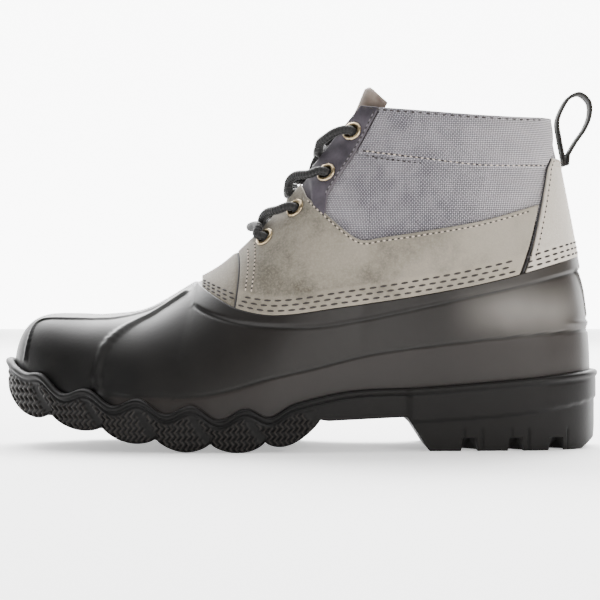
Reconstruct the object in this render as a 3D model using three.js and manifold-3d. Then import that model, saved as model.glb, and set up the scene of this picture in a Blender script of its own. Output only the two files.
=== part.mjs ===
// A left deck boot: a laced ankle boot with a moulded rubber shell on a lugged rubber outsole,
// leather quarters, a canvas shaft, a gusseted tongue, four pairs of eyelets and a heel pull loop.
// Millimetres, +Z up, toe towards -X, the outer (lateral) side towards -Y, standing on z = 0.
import * as THREE from "three";
import { mergeVertices } from "three/addons/utils/BufferGeometryUtils.js";
import Module from "manifold-3d";

const wasm = await Module();
wasm.setup();

const V = (x, y, z) => new THREE.Vector3(x, y, z);
const { lerp, clamp } = THREE.MathUtils;

// ---------------------------------------------------------------- driving dimensions

const WELT = 3; // the outsole stands this far outside the shell all round
const FIT = 0.3; // clearance between pieces that touch
const SHELL_WALL = 3;
const LEATHER_OUT = 0.9; // leather lies over the rubber flange, so it stands this proud of it
const LEATHER_IN = -0.7;
const CLOTH_OUT = -1.3;
const CLOTH_IN = -2.5;
const STIFFENER = [-4.6, -3.3]; // inner and outer face of the heel counter and the collar foam
const LINING = [-7.2, -5.6];
const TONGUE = [-12.8, -9];
const FLANGE_RISE = 11; // height of the rubber flange under the leather
const LACE_R = 2;
// Pairs of eyelets, lowest first: place along the loop, and distance back from the throat's edge.
const EYELETS = [[7.4, 10], [6.82, 11.5], [6.09, 13.6], [5.36, 7.5]];
const EYELET_BORE = 3.1;
const TREAD_PITCH = 26.9;

// ---------------------------------------------------------------- the form

// The outside of the boot is a wall that rises from the feather line, the outline of the shell's
// floor, to the top line: the collar, the throat's edge and then the ridge along the toe. A place on
// it is (l, v). l runs once round the boot: 0 at the middle of the heel, -1 to -14 along the lateral
// side to the tip of the toe, 1 to 14 along the medial side. v is 0 at the feather line and 1 at the
// top line; v below 0 is the floor, with -1 along its middle.
// Each row: feather x, lateral y, medial y | top x, half width, z | middle y |
// handle at the foot (x, outwards, up) | handle at the top (x, outwards, up)
const ROWS = [
  [148, 0, 0, 129, 0, 167.5, 0, 2.5, 0, 45, 7, 0, -45],
  [141, -20.5, 20.5, 123.5, 17, 167, -0.5, 2, 1.5, 45, 5, 2, -45],
  [122, -33.5, 33, 107, 28, 166.5, -1, 1, 3, 45, 3, 2.5, -45],
  [92, -37, 33.5, 83, 32.5, 167.5, -1, 0, 3, 45, 2, 2.5, -45],
  [58, -39, 31, 57, 28.5, 170, -0.5, 0, 2, 45, 6, 5, -42],
  [28, -43, 32, 31, 12.5, 173.5, 0, 0, 2, 45, 11, 16, -24],
  [2, -47, 38, 13, 12, 150.5, 0.5, 0, 1, 40, 10, 21, -13],
  [-20, -50, 44.5, -8, 12, 123, 1, 0, 1, 35, 8, 23, -12],
  [-42, -51, 49.5, -35, 9, 96, 2, 0, 1, 32, 5, 26, -10],
  [-64, -50.5, 51, -54, 0, 84.5, 3, 0, 1, 30, 3, 28, -6],
  [-88, -47, 49, -78, 0, 71, 4, 0, 1, 30, 2, 34, -3],
  [-110, -38.5, 44, -98, 0, 67.8, 4.5, -1, 1, 30, -3, 32, -1],
  [-129, -25, 35.5, -112, 0, 67.9, 5, -2, 1, 28, -8, 22, 0],
  [-143, -8, 21.5, -120, 0, 68, 5.5, -2, 1, 26, -13, 10, 0],
  [-148, 7, 7, -124, 0, 67.9, 6, 0, 0, 25, -16, 0, 0],
];
const TOE = ROWS.length - 1;
const COLLAR_CORNER = 5;
const THROAT_END = 9;
const CLOSING = 8.85; // just before the throat's end, where the shell still has its flange

// Height of the shell's floor along the boot, with its toe spring.
const FLOOR = [
  [-148, 33], [-143, 30], [-129, 22], [-110, 16], [-88, 12], [-64, 10], [-42, 10],
  [-20, 12], [2, 15], [28, 18], [58, 21.5], [92, 25], [122, 26.5], [148, 27],
];
// Seams as heights along the boot, seen from the side.
const SHELL_TOP = [[-54, 84.5], [-43, 76.5], [-30, 69.8], [-12, 67], [20, 71], [60, 77], [100, 85], [142, 97]];
const LEATHER_TOP = [[-6, 136], [10, 120.5], [24, 108], [31, 104.4], [40, 105.6], [60, 108.6], [92, 114.4], [126, 124.5]];
const BAND_FOOT = [[14, 149], [34, 148], [60, 144.3], [92, 140.5], [132, 141.3]];
// Rear edge of the throat facing: x against height.
const FACING_REAR = [[120, 9], [127.6, 13.6], [134, 17.5], [151.3, 29], [169.9, 39], [180, 45]];

function row(k) {
  const i = ((k + TOE + 2 * TOE) % (2 * TOE)) - TOE;
  const side = i < 0 ? -1 : 1;
  const [x, lateral, medial, topX, half, topZ, middle, ...h] = ROWS[Math.abs(i)];
  return {
    foot: [x, side < 0 ? lateral : medial],
    top: [topX, middle + side * half, topZ, middle],
    low: [h[0], side * h[1], h[2]],
    high: [h[3], side * h[4], h[5]],
  };
}

// A smooth curve through the rows; the top line turns a sharp corner where collar and throat meet.
function along(l, key) {
  const i = Math.floor(l);
  const t = l - i;
  const [a, b, c, d] = [-1, 0, 1, 2].map((n) => row(i + n)[key]);
  const corner = (k) => key === "top" && [COLLAR_CORNER, THROAT_END].includes(Math.abs(k));
  return b.map((_, n) => {
    const m1 = corner(i) ? c[n] - b[n] : (c[n] - a[n]) / 2;
    const m2 = corner(i + 1) ? c[n] - b[n] : (d[n] - b[n]) / 2;
    const [t2, t3] = [t * t, t * t * t];
    return (2 * t3 - 3 * t2 + 1) * b[n] + (t3 - 2 * t2 + t) * m1 + (3 * t2 - 2 * t3) * c[n] + (t3 - t2) * m2;
  });
}

// A smooth curve through [x, y] pairs.
function curve(pairs, x) {
  const last = pairs.length - 1;
  let i = 0;
  while (i < last - 1 && x > pairs[i + 1][0]) i += 1;
  const slope = (k) => {
    const [p, q] = [pairs[Math.max(0, k - 1)], pairs[Math.min(last, k + 1)]];
    return (q[1] - p[1]) / (q[0] - p[0]);
  };
  const [[x0, y0], [x1, y1]] = [pairs[i], pairs[i + 1]];
  const w = x1 - x0;
  const t = clamp((x - x0) / w, 0, 1);
  const [t2, t3] = [t * t, t * t * t];
  return (2 * t3 - 3 * t2 + 1) * y0 + (t3 - 2 * t2 + t) * w * slope(i)
    + (3 * t2 - 2 * t3) * y1 + (t3 - t2) * w * slope(i + 1);
}

const MIDDLE_SHARE = 0.7; // the floor's middle line is this share of the feather line's length

// The four control points of the wall's curve at l, foot to top.
function column(l) {
  const [fx, fy] = along(l, "foot");
  const [tx, ty, tz, middle] = along(l, "top");
  const foot = V(fx, fy, curve(FLOOR, fx));
  const side = l < 0 ? -1 : 1;
  const top = V(tx, middle + side * Math.max(0, side * (ty - middle)), tz);
  const low = foot.clone().add(V(...along(l, "low")));
  const high = top.clone().add(V(...along(l, "high")));
  return { foot, low, high, top, middle };
}

function form(l, v) {
  const { foot, low, high, top, middle } = column(l);
  if (v < 0) {
    const x = foot.x * MIDDLE_SHARE;
    return foot.lerp(V(x, middle, curve(FLOOR, x)), -v);
  }
  const u = 1 - v;
  return foot.multiplyScalar(u * u * u).addScaledVector(low, 3 * u * u * v)
    .addScaledVector(high, 3 * u * v * v).addScaledVector(top, v * v * v);
}

function normal(l, v) {
  if (v < 0) return V(0, 0, -1);
  if (v >= 1 && Math.abs(l) >= THROAT_END) {
    const s = Math.min(Math.abs(l), TOE - 0.2); // along the ridge, where both sides meet
    const t = form(s - 0.2, 1).sub(form(s + 0.2, 1));
    return V(-t.z, 0, t.x).normalize();
  }
  const e = 0.004;
  const { foot, low, high, top } = column(l);
  const u = 1 - v;
  const rise = low.clone().sub(foot).multiplyScalar(u * u)
    .addScaledVector(high.clone().sub(low), 2 * u * v).addScaledVector(top.sub(high), v * v);
  return form(l + e, v).sub(form(l - e, v)).cross(rise).normalize();
}

// A point d outside the form (inside it when d is negative).
function off(l, v, d) {
  const n = normal(l, Math.max(v, 0));
  if (v < 0) return form(l, v).add(V(0, 0, -d));
  if (v === 0) n.setZ(0).normalize().setZ(-1); // the corner between wall and floor
  return form(l, v).addScaledVector(n, d);
}

// The v at which the wall at l crosses a line: test(point) is positive above it.
function crossing(l, test) {
  let [low, high] = [0, 1];
  if (test(form(l, 1)) < 0) return 1;
  for (let i = 0; i < 22; i += 1) {
    const mid = (low + high) / 2;
    if (test(form(l, mid)) > 0) high = mid;
    else low = mid;
  }
  return low;
}
const atHeight = (l, line, rise = 0) => crossing(l, (p) => p.z - curve(line, p.x) - rise);

// The v that lies d millimetres back from the top line.
function setback(l, d) {
  let v = 1;
  let gone = 0;
  let here = form(l, 1);
  while (gone < d && v > 0) {
    v -= 0.004;
    const next = form(l, v);
    gone += next.distanceTo(here);
    here = next;
  }
  return v;
}

// ---------------------------------------------------------------- meshes from grids

// Welding rounds to thousandths; this keeps round numbers away from the rounding's edge.
const OFF_GRID = [0.00021, 0.00017, 0.00023];

// Gathers triangles and welds them into one closed geometry.
class Skin {
  constructor() {
    this.corners = [];
  }
  quad(a, b, c, d) {
    this.corners.push(a, b, c, a, c, d);
  }
  geometry() {
    const g = new THREE.BufferGeometry();
    g.setAttribute("position", new THREE.Float32BufferAttribute(this.corners.flatMap((p) => [p.x, p.y, p.z]), 3));
    const welded = mergeVertices(g.translate(...OFF_GRID), 1e-3);
    const index = welded.index.array;
    const kept = [];
    for (let i = 0; i < index.length; i += 3) {
      const [a, b, c] = index.slice(i, i + 3);
      if (a !== b && b !== c && a !== c) kept.push(a, b, c);
    }
    welded.setIndex(kept);
    return welded;
  }
}

// A closed slab between two grids of points of the same size. Edges are left out where the faces
// already meet.
function slab(outer, inner, { first = true, last = true, low = true, high = () => true } = {}) {
  const skin = new Skin();
  const [n, m] = [outer.length - 1, outer[0].length - 1];
  for (let i = 0; i < n; i += 1) {
    for (let j = 0; j < m; j += 1) {
      skin.quad(outer[i][j], outer[i + 1][j], outer[i + 1][j + 1], outer[i][j + 1]);
      skin.quad(inner[i][j], inner[i][j + 1], inner[i + 1][j + 1], inner[i + 1][j]);
    }
    if (high(i)) skin.quad(outer[i][m], outer[i + 1][m], inner[i + 1][m], inner[i][m]);
    if (low) skin.quad(outer[i + 1][0], outer[i][0], inner[i][0], inner[i + 1][0]);
  }
  for (let j = 0; j < m; j += 1) {
    if (first) skin.quad(outer[0][j], outer[0][j + 1], inner[0][j + 1], inner[0][j]);
    if (last) skin.quad(outer[n][j + 1], outer[n][j], inner[n][j], inner[n][j + 1]);
  }
  return skin.geometry();
}

const grid = (n, m, at) => Array.from({ length: n + 1 }, (_, i) => Array.from({ length: m + 1 }, (_, j) => at(i / n, j / m)));

// A panel of one side: place(a, b) gives (l, v) for a from front or rear edge to the other, b upwards.
function panel(n, m, place, inner, outer) {
  const face = (d) => grid(n, m, (a, b) => off(...place(a, b), d));
  return slab(face(outer), face(inner));
}

const steps = (from, to, n) => Array.from({ length: n + 1 }, (_, i) => lerp(from, to, i / n));

// Places once round the boot, with extra ones where the throat closes.
const LOOP = [...steps(-TOE, TOE, 4 * TOE), -CLOSING, CLOSING].sort((a, b) => a - b);

// A sheet that goes all round the boot, closed over the toe from the throat's end forwards.
function bootie(rings, inner, outer, withFloor) {
  const face = (d) => LOOP.map((l) => rings(l).map((v) => off(l, v, typeof d === "function" ? d(l, v) : d)));
  const open = (i) => Math.min(Math.abs(LOOP[i]), Math.abs(LOOP[i + 1])) < THROAT_END;
  return slab(face(outer), face(inner), { first: false, last: false, low: !withFloor, high: open });
}

function toSolid(geometry) {
  const g = geometry.index ? geometry.toNonIndexed() : geometry.clone();
  const bare = new THREE.BufferGeometry().setAttribute("position", g.getAttribute("position"));
  const welded = mergeVertices(bare, 1e-4);
  return new wasm.Manifold(new wasm.Mesh({
    numProp: 3,
    vertProperties: welded.attributes.position.array,
    triVerts: new Uint32Array(welded.index.array),
  }));
}

function toGeometry(solid) {
  const made = solid.getMesh();
  return new THREE.BufferGeometry()
    .setAttribute("position", new THREE.BufferAttribute(new Float32Array(made.vertProperties), 3))
    .setIndex(new THREE.BufferAttribute(new Uint32Array(made.triVerts), 1));
}

const cut = (geometry, ...tools) => toGeometry(tools.reduce((s, t) => s.subtract(toSolid(t)), toSolid(geometry)));

// A straight extrusion of an outline in x and z, across the boot between two y values.
function across(points, y0, y1) {
  const g = new THREE.ExtrudeGeometry(new THREE.Shape(points.map(([x, z]) => new THREE.Vector2(x, z))), {
    depth: y1 - y0,
    bevelEnabled: false,
  });
  return g.rotateX(Math.PI / 2).translate(0, y1, 0);
}

// ---------------------------------------------------------------- materials

const material = (color, roughness, metalness = 0) => new THREE.MeshStandardMaterial({ color, roughness, metalness });
const RUBBER = material(0x35322f, 0.45);
const SOLE = material(0x2a2827, 0.6);
const LEATHER = material(0x9a948c, 0.75);
const CANVAS = material(0x7d7c88, 0.9);
const FACING = material(0x6a6872, 0.85);
const TEXTILE = material(0x4a4a4e, 0.95);
const FOAM = material(0x8a8a80, 0.9);
const BOARD = material(0xb09468, 0.9);
const STEEL = material(0xa0a4a8, 0.35, 1);
const BRASS = material(0xb9a06e, 0.35, 1);
const CORD = material(0x1d1d1f, 0.85);

const boot = new THREE.Group();
function add(name, geometry, look) {
  const mesh = new THREE.Mesh(geometry, look);
  mesh.name = name;
  boot.add(mesh);
}

// ---------------------------------------------------------------- rubber shell and outsole

// Top of the shell: a flange under the leather, and from the throat's end forwards the closed toe.
const flangeTop = (l) => (Math.abs(l) >= THROAT_END ? 1 : Math.min(1, atHeight(l, SHELL_TOP, FLANGE_RISE)));
function shellRings(l) {
  const rim = Math.abs(l) >= THROAT_END ? 0.9 : Math.min(0.97, atHeight(l, SHELL_TOP));
  const top = Math.max(flangeTop(l), rim + 0.02);
  return [-1, -0.45, 0, ...steps(0, rim - 0.012, 7).slice(1), rim, top];
}
// Under the leather the rubber is thinned to a flange.
function shellFace(l, v) {
  return Math.abs(l) < THROAT_END && v > shellRings(l).at(-3) + 0.001 ? CLOTH_OUT : 0;
}
add("rubber_shell", bootie(shellRings, -SHELL_WALL, shellFace, true), RUBBER);

// The lower part of the shell's outside, filled, and made larger by d.
function filledShell(d) {
  const skin = new Skin();
  const at = LOOP.map((l) => shellRings(l).slice(0, 8).map((v) => off(l, v, d)));
  const [n, m] = [at.length - 1, at[0].length - 1];
  for (let i = 0; i < n; i += 1) {
    for (let j = 0; j < m; j += 1) skin.quad(at[i][j], at[i + 1][j], at[i + 1][j + 1], at[i][j + 1]);
  }
  for (let i = 0; i < n / 2; i += 1) skin.quad(at[i][m], at[i + 1][m], at[n - i - 1][m], at[n - i][m]);
  return skin.geometry();
}

// Outline of the outsole seen from above.
const soleOutline = Array.from({ length: 8 * TOE }, (_, i) => off(lerp(-TOE, TOE, i / (8 * TOE)), 0.001, WELT));

// Upper edge of the outsole: a wave along the forefoot that runs out into the heel band.
const EDGE = [[-151, 45], [-146, 41], [-132, 35.6], [-112, 29.3], [-92, 25.4], [-60, 20.8], [-35, 18.6], [-14, 19.4],
  [4, 25.4], [27, 29.9], [60, 31.3], [103, 34.7], [151, 39.3]];
const WAVE_PITCH = 26.4;
const WAVE_HEIGHT = 2.8;
function soleEdge(x) {
  const fade = THREE.MathUtils.smoothstep(x, -146, -128) * (1 - THREE.MathUtils.smoothstep(x, -22, 4));
  return curve(EDGE, x) + WAVE_HEIGHT * fade * Math.cos((2 * Math.PI * x) / WAVE_PITCH);
}

// Tread line: rounded pods along the forefoot, rising with the toe spring.
const TREAD = [[-151, 34], [-149, 28], [-144, 21.6], [-139, 17.8], [-131, 15.2], [-104, 9.3], [-84, 4.8], [-58, 0.5],
  [-46, 0], [-24, 0], [-8, 2.5], [10, 11]];
const POD_DEPTH = 5;
const FIRST_NOTCH = -124.5;
function tread(x) {
  const lobe = Math.abs(Math.sin((Math.PI * (x - FIRST_NOTCH)) / TREAD_PITCH)) ** 0.6;
  const depth = POD_DEPTH * THREE.MathUtils.smoothstep(x, -136, -126);
  return Math.max(0, curve(TREAD, x)) + depth * (1 - lobe);
}
const HEEL_FRONT = 64;
const HEEL_NOTCHES = [80, 103, 124];
const NOTCH = { width: 7.5, height: 6.5, depth: 17 };
const sideOutline = [
  ...steps(-151, 10, 76).map((x) => [x, tread(x)]),
  [14, 15.2], [53, 16.9], [HEEL_FRONT, 0],
  [142, 0], [149.5, 5], [152, 20],
  ...steps(152, -152, 84).map((x) => [x, soleEdge(x)]),
];
const plan = new THREE.ExtrudeGeometry(
  new THREE.Shape(soleOutline.map((p) => new THREE.Vector2(p.x, p.y))),
  { depth: 80, bevelEnabled: false },
).translate(0, 0, -5);
const soleBlock = toSolid(across(sideOutline, -60, 60)).intersect(toSolid(plan));
// Notches in both sides of the heel, cut in from the outline.
const notches = HEEL_NOTCHES.flatMap((x) => [-1, 1].map((side) => {
  const edge = 38 - 0.22 * Math.max(0, x - 110); // the heel narrows towards the back
  const g = new THREE.BoxGeometry(NOTCH.width, 60, 2 * NOTCH.height);
  return toSolid(g.translate(x + NOTCH.width / 2, side * (edge - NOTCH.depth + 30), 0));
}));
const sole = [toSolid(filledShell(FIT)), ...notches].reduce((a, b) => a.subtract(b), soleBlock);
add("outsole", toGeometry(sole), SOLE);

// ---------------------------------------------------------------- inside the shell

// A flat layer over the floor, `inset` inside the feather line and between two heights above it.
function floorLayer(inset, low, high) {
  const face = (h) => LOOP.map((l) => {
    const edge = inset / form(l, 0).distanceTo(form(l, -1));
    return [-1, -0.45, -edge].map((v) => off(l, v, -h));
  });
  return slab(face(low), face(high), { first: false, last: false, low: false });
}
const SHANK = { from: -22, to: 88, left: -8, right: 6, low: 4.6, high: 6.1 };
function strip(grow, high) {
  const line = steps(SHANK.from - grow, SHANK.to + grow, 8);
  const foot = line.map((x) => [x, curve(FLOOR, x) + SHANK.low - grow]);
  const head = line.map((x) => [x, curve(FLOOR, x) + high]).reverse();
  return across([...foot, ...head], SHANK.left - grow, SHANK.right + grow);
}
add("midsole_filler", cut(floorLayer(20, 3.4, 6.4), strip(FIT, 8)), FOAM);
add("steel_shank", strip(0, SHANK.high), STEEL);
add("insole_board", floorLayer(6.5, 6.7, 8), BOARD);
add("footbed", floorLayer(10, 8.3, 12.5), TEXTILE);

// Lining bootie: open at the collar and back from the throat, closed over the toe.
const LINING_SETBACK = 31;
function liningTop(l) {
  const s = Math.abs(l);
  if (s >= THROAT_END) return 1;
  if (s >= 8) return lerp(setback(l, LINING_SETBACK), 1, s - 8);
  if (s >= COLLAR_CORNER) return setback(l, LINING_SETBACK);
  if (s > 4) return lerp(0.985, setback(COLLAR_CORNER, LINING_SETBACK), s - 4);
  return 0.985;
}
const liningRings = (l) => steps(atHeight(l, FLOOR, 9.5), liningTop(l), 8);
add("lining", bootie(liningRings, LINING[0], LINING[1], false), TEXTILE);

// Heel counter and collar foam, between the outside and the lining.
add("heel_counter", panel(14, 4, (a, b) => {
  const l = lerp(-3.4, 3.4, a);
  const low = atHeight(l, FLOOR, 10);
  return [l, lerp(low, lerp(0.5, 0.36, Math.abs(l) / 3.4), b)];
}, ...STIFFENER), BOARD);
add("collar_foam", panel(20, 3, (a, b) => {
  const l = lerp(-4.3, 4.3, a);
  return [l, lerp(0.72, 0.965, b)];
}, ...STIFFENER), FOAM);

// ---------------------------------------------------------------- upper

// The seam between the quarter and the backstay leans forwards as it goes down.
const STAY_EDGE = [[86, 2.3], [140, 1.25], [147, 0.95], [168, 0.3]]; // height, place along the loop
const STAY_TOP_Z = 146.5;
const SEAM_GAP = 0.05; // half the gap that takes the piping, as a share of a row
const QUARTER_FRONT = 7.85;
const LEATHER_THROAT = 6.62; // where the quarter's top edge meets the throat
const leatherTop = (l) => (Math.abs(l) >= LEATHER_THROAT ? 1 : atHeight(l, LEATHER_TOP));

// The place on the backstay's edge, moved by `shift`, a share b of the way from low(l) to high(l).
function onStayEdge(side, shift, b, low, high) {
  let l = 2 * side;
  for (let i = 0; i < 6; i += 1) {
    const z = form(l, lerp(low(l), high(l), b)).z;
    l = side * (curve(STAY_EDGE, z) + shift);
  }
  return l;
}
function facingRear(l) {
  return crossing(l, (p) => curve(FACING_REAR, p.z) - p.x);
}

function eyeletPlace(side, n) {
  const [s, back] = EYELETS[n];
  return [side * s, setback(side * s, back)];
}

// A straight bore through every layer at an eyelet.
function eyeletHole(side, n, radius) {
  const [l, v] = eyeletPlace(side, n);
  const g = new THREE.CylinderGeometry(radius, radius, 14, 16).toNonIndexed();
  const turn = new THREE.Quaternion().setFromUnitVectors(V(0, 1, 0), normal(l, v));
  return g.applyQuaternion(turn).translate(...form(l, v).toArray());
}

const shellTop = (l) => atHeight(l, SHELL_TOP);

function quarter(side) {
  const g = panel(24, 8, (a, b) => {
    const rear = onStayEdge(side, SEAM_GAP, b, shellTop, leatherTop);
    const front = side * QUARTER_FRONT;
    const l = side < 0 ? lerp(front, rear, a) : lerp(rear, front, a);
    return [l, lerp(shellTop(l), leatherTop(l), b)];
  }, LEATHER_IN, LEATHER_OUT);
  return cut(g, eyeletHole(side, 0, 3.8), eyeletHole(side, 1, 3.8));
}

function canvas(side) {
  const rear = 0.02;
  const front = 6.62;
  const g = panel(26, 8, (a, b) => {
    const s = side < 0 ? lerp(front, rear, a) : lerp(rear, front, a);
    const l = side * s;
    return [l, lerp(Math.min(0.97, atHeight(l, LEATHER_TOP, -8)), 0.988, b)];
  }, CLOTH_IN, CLOTH_OUT);
  return cut(g, eyeletHole(side, 2, 3.8), eyeletHole(side, 3, 3.8));
}

const FACING_BACK = 4.68;
const FACING_FOOT = 6.56;
function facing(side) {
  const g = panel(12, 3, (a, b) => {
    const s = side < 0 ? lerp(FACING_FOOT, FACING_BACK, a) : lerp(FACING_BACK, FACING_FOOT, a);
    const l = side * s;
    const low = s > 6 ? Math.max(facingRear(l), atHeight(l, LEATHER_TOP) + 0.006) : facingRear(l);
    return [l, lerp(Math.min(low, 0.985), 1, b)];
  }, LEATHER_IN, LEATHER_OUT);
  return cut(g, eyeletHole(side, 2, 3.8), eyeletHole(side, 3, 3.8));
}

const bandFoot = (l) => atHeight(l, BAND_FOOT);
function bandTop(l) {
  return Math.abs(l) > FACING_BACK ? Math.min(1, facingRear(l) - 0.01) : 1;
}
function collarBand(side) {
  return panel(18, 3, (a, b) => {
    const rear = onStayEdge(side, SEAM_GAP, b, bandFoot, bandTop);
    const front = 5.3 * side;
    const l = side < 0 ? lerp(front, rear, a) : lerp(rear, front, a);
    return [l, lerp(Math.min(bandFoot(l), bandTop(l) - 0.01), bandTop(l), b)];
  }, LEATHER_IN, 0.3);
}

for (const [side, name] of [[-1, "lateral"], [1, "medial"]]) {
  add(`quarter_${name}`, quarter(side), LEATHER);
  add(`canvas_${name}`, canvas(side), CANVAS);
  add(`facing_${name}`, facing(side), FACING);
  add(`collar_band_${name}`, collarBand(side), CANVAS);
}

// Backstay: one leather piece round the heel, with a cord piping let into each edge.
const atZ = (l, z) => crossing(l, (p) => p.z - z);
const stayTop = (l) => atZ(l, STAY_TOP_Z);
add("backstay", panel(12, 6, (a, b) => {
  const [left, right] = [-1, 1].map((side) => onStayEdge(side, -SEAM_GAP, b, shellTop, stayTop));
  const l = lerp(left, right, a);
  return [l, lerp(shellTop(l), stayTop(l), b)];
}, LEATHER_IN, LEATHER_OUT), LEATHER);

function tube(points, radius, sides, count, closedPath = false) {
  const path = new THREE.CatmullRomCurve3(points, closedPath, "centripetal");
  const section = new THREE.Shape(Array.from({ length: sides }, (_, i) => {
    const t = (2 * Math.PI * i) / sides;
    return new THREE.Vector2(radius * Math.cos(t), radius * Math.sin(t));
  }));
  return new THREE.ExtrudeGeometry(section, { steps: count, extrudePath: path, bevelEnabled: false });
}

// ---------------------------------------------------------------- throat, tongue and laces

const MIDFRONT = 6; // steps across the gap between the two throat edges
const TONGUE_CROWN = 0.15;
const TONGUE_PAD = 5; // the padded top stands this far forward
// A point across the throat at loop place s: t runs from -1 (lateral, `reach` back from the edge)
// through the gap to 1 (medial).
function throatRow(s, reach, d) {
  const sideOf = (side) => steps(0, 1, 3).map((t) => {
    const l = side * s;
    return off(l, lerp(setback(l, reach), 0.999, t), d);
  });
  const lateral = sideOf(-1);
  const medial = sideOf(1).reverse();
  const [p, q] = [lateral.at(-1), medial[0]];
  const [a, b] = [p.clone().sub(lateral.at(-2)), q.clone().sub(medial[1])].map((t) => t.setLength(p.distanceTo(q) * TONGUE_CROWN));
  const bridge = new THREE.CubicBezierCurve3(p, p.clone().add(a), q.clone().add(b), q);
  return [...lateral, ...bridge.getPoints(MIDFRONT).slice(1, -1), ...medial];
}

const TONGUE_TIP = V(6.5, 0, 10.6); // from the collar corner's level to the tongue's tip
// How far the tongue and its gusset reach behind the throat's edge, against the place along the loop.
const TONGUE_REACH = [[COLLAR_CORNER, 9], [5.6, 11], [6.4, 26], [8, 26], [9, 8]];
function tongueFace(d) {
  const forward = (s) => TONGUE_PAD * (1 - THREE.MathUtils.smoothstep(s, COLLAR_CORNER, 5.25));
  const body = steps(8.95, COLLAR_CORNER, 12).map((s) => throatRow(s, curve(TONGUE_REACH, s), d + forward(s)));
  const top = body.at(-1);
  const middle = top[Math.floor(top.length / 2)];
  const tip = [0.45, 0.8, 1].map((t, n) => top.map((p) => {
    const narrow = [0.92, 0.74, 0.5][n];
    const q = p.clone();
    q.x = lerp(middle.x, p.x, narrow) + TONGUE_TIP.x * t;
    q.y = lerp(middle.y, p.y, narrow);
    q.z = lerp(middle.z, p.z, narrow) + TONGUE_TIP.z * t;
    return q;
  }));
  return [...body, ...tip];
}
add("tongue", slab(tongueFace(TONGUE[1]), tongueFace(TONGUE[0])), LEATHER);

// Vamp gore: the leather across the foot of the throat, under the quarters' front edges.
function goreFace(d) {
  return steps(QUARTER_FRONT + 0.05, CLOSING - 0.05, 6).map((s) => {
    const rise = (side) => steps(0, 1, 3).map((t) => {
      const l = side * s;
      return off(l, lerp(atHeight(l, SHELL_TOP), 0.999, t), d);
    });
    const lateral = rise(-1);
    const medial = rise(1).reverse();
    const [p, q] = [lateral.at(-1), medial[0]];
    const across3 = [0.25, 0.5, 0.75].map((t) => p.clone().lerp(q, t));
    return [...lateral, ...across3, ...medial];
  });
}
add("vamp_gore", slab(goreFace(LEATHER_OUT).reverse(), goreFace(LEATHER_IN).reverse()), LEATHER);

// Eyelets: a rolled flange outside, a barrel through the layers and a clinched flange inside.
const EYELET = [
  [EYELET_BORE, -4], [4.4, -4], [4.4, -3.5], [3.5, -3.5], [3.5, 1.3], [4.9, 1.3], [4.6, 2], [3.7, 2.2],
  [EYELET_BORE, 1.7], [EYELET_BORE, -4],
];
function eyelet(side, n) {
  const [l, v] = eyeletPlace(side, n);
  const g = new THREE.LatheGeometry(EYELET.map(([r, h]) => new THREE.Vector2(r, h)), 14);
  const turn = new THREE.Quaternion().setFromUnitVectors(V(0, 1, 0), normal(l, v));
  return g.applyQuaternion(turn).translate(...form(l, v).toArray());
}
EYELETS.forEach((_, n) => {
  add(`eyelet_lateral_${n + 1}`, eyelet(-1, n), BRASS);
  add(`eyelet_medial_${n + 1}`, eyelet(1, n), BRASS);
});

// Each end of the lace comes over the throat's edge, dives into an eyelet from outside, comes up
// through the gap and crosses to the next eyelet. Steps at an eyelet whose edge is `reach` away:
// outwards, towards the edge, down the throat.
const overAndIn = (reach) => [
  [3.9, reach + 1.4, 5], [4.8, 3.6, 2], [3.1, 0.6, 0.3], [0.4, 0, 0], [-2.6, 0, 0], [-4.7, 0.2, 0],
];
const outAgain = (reach) => [[-6.5, 2.8, 0.2], [-6.4, reach + 2, 1]];
const LAST_TURN = [-6.4, -2.4, 0];
function eyeletFrame(side, n) {
  const [l, v] = eyeletPlace(side, n);
  const at = form(l, v);
  const out = normal(l, v);
  const down = form(l + 0.05 * side, 1).sub(form(l - 0.05 * side, 1));
  down.addScaledVector(out, -down.dot(out)).normalize();
  const toEdge = down.clone().cross(out).multiplyScalar(-side);
  const reach = form(l, 1).sub(at).dot(toEdge);
  const place = ([o, e, w]) => at.clone().addScaledVector(out, o).addScaledVector(toEdge, e).addScaledVector(down, w);
  return { place, reach };
}
function middleFront(s, d) {
  const p = form(-s, 1).lerp(form(s, 1), 0.5);
  const slope = form(s - 0.05, 1).sub(form(s + 0.05, 1)).setY(0).normalize();
  return p.add(V(-slope.z, 0, slope.x).multiplyScalar(d));
}
function laceHalf(start, crossing) {
  const points = [];
  let side = start;
  EYELETS.forEach(([s], n) => {
    const { place, reach } = eyeletFrame(side, n);
    points.push(...overAndIn(reach).map(place));
    if (n === EYELETS.length - 1) {
      points.push(place(LAST_TURN));
      return;
    }
    points.push(...outAgain(reach).map(place));
    points.push(middleFront(lerp(s, EYELETS[n + 1][0], 0.38), crossing));
    side = -side;
  });
  return points;
}
const bar = middleFront(7.5, 5.4);
add("lace", tube([...laceHalf(-1, -2.4).reverse(), bar, ...laceHalf(1, 2.3)], LACE_R, 8, 210), CORD);

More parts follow.
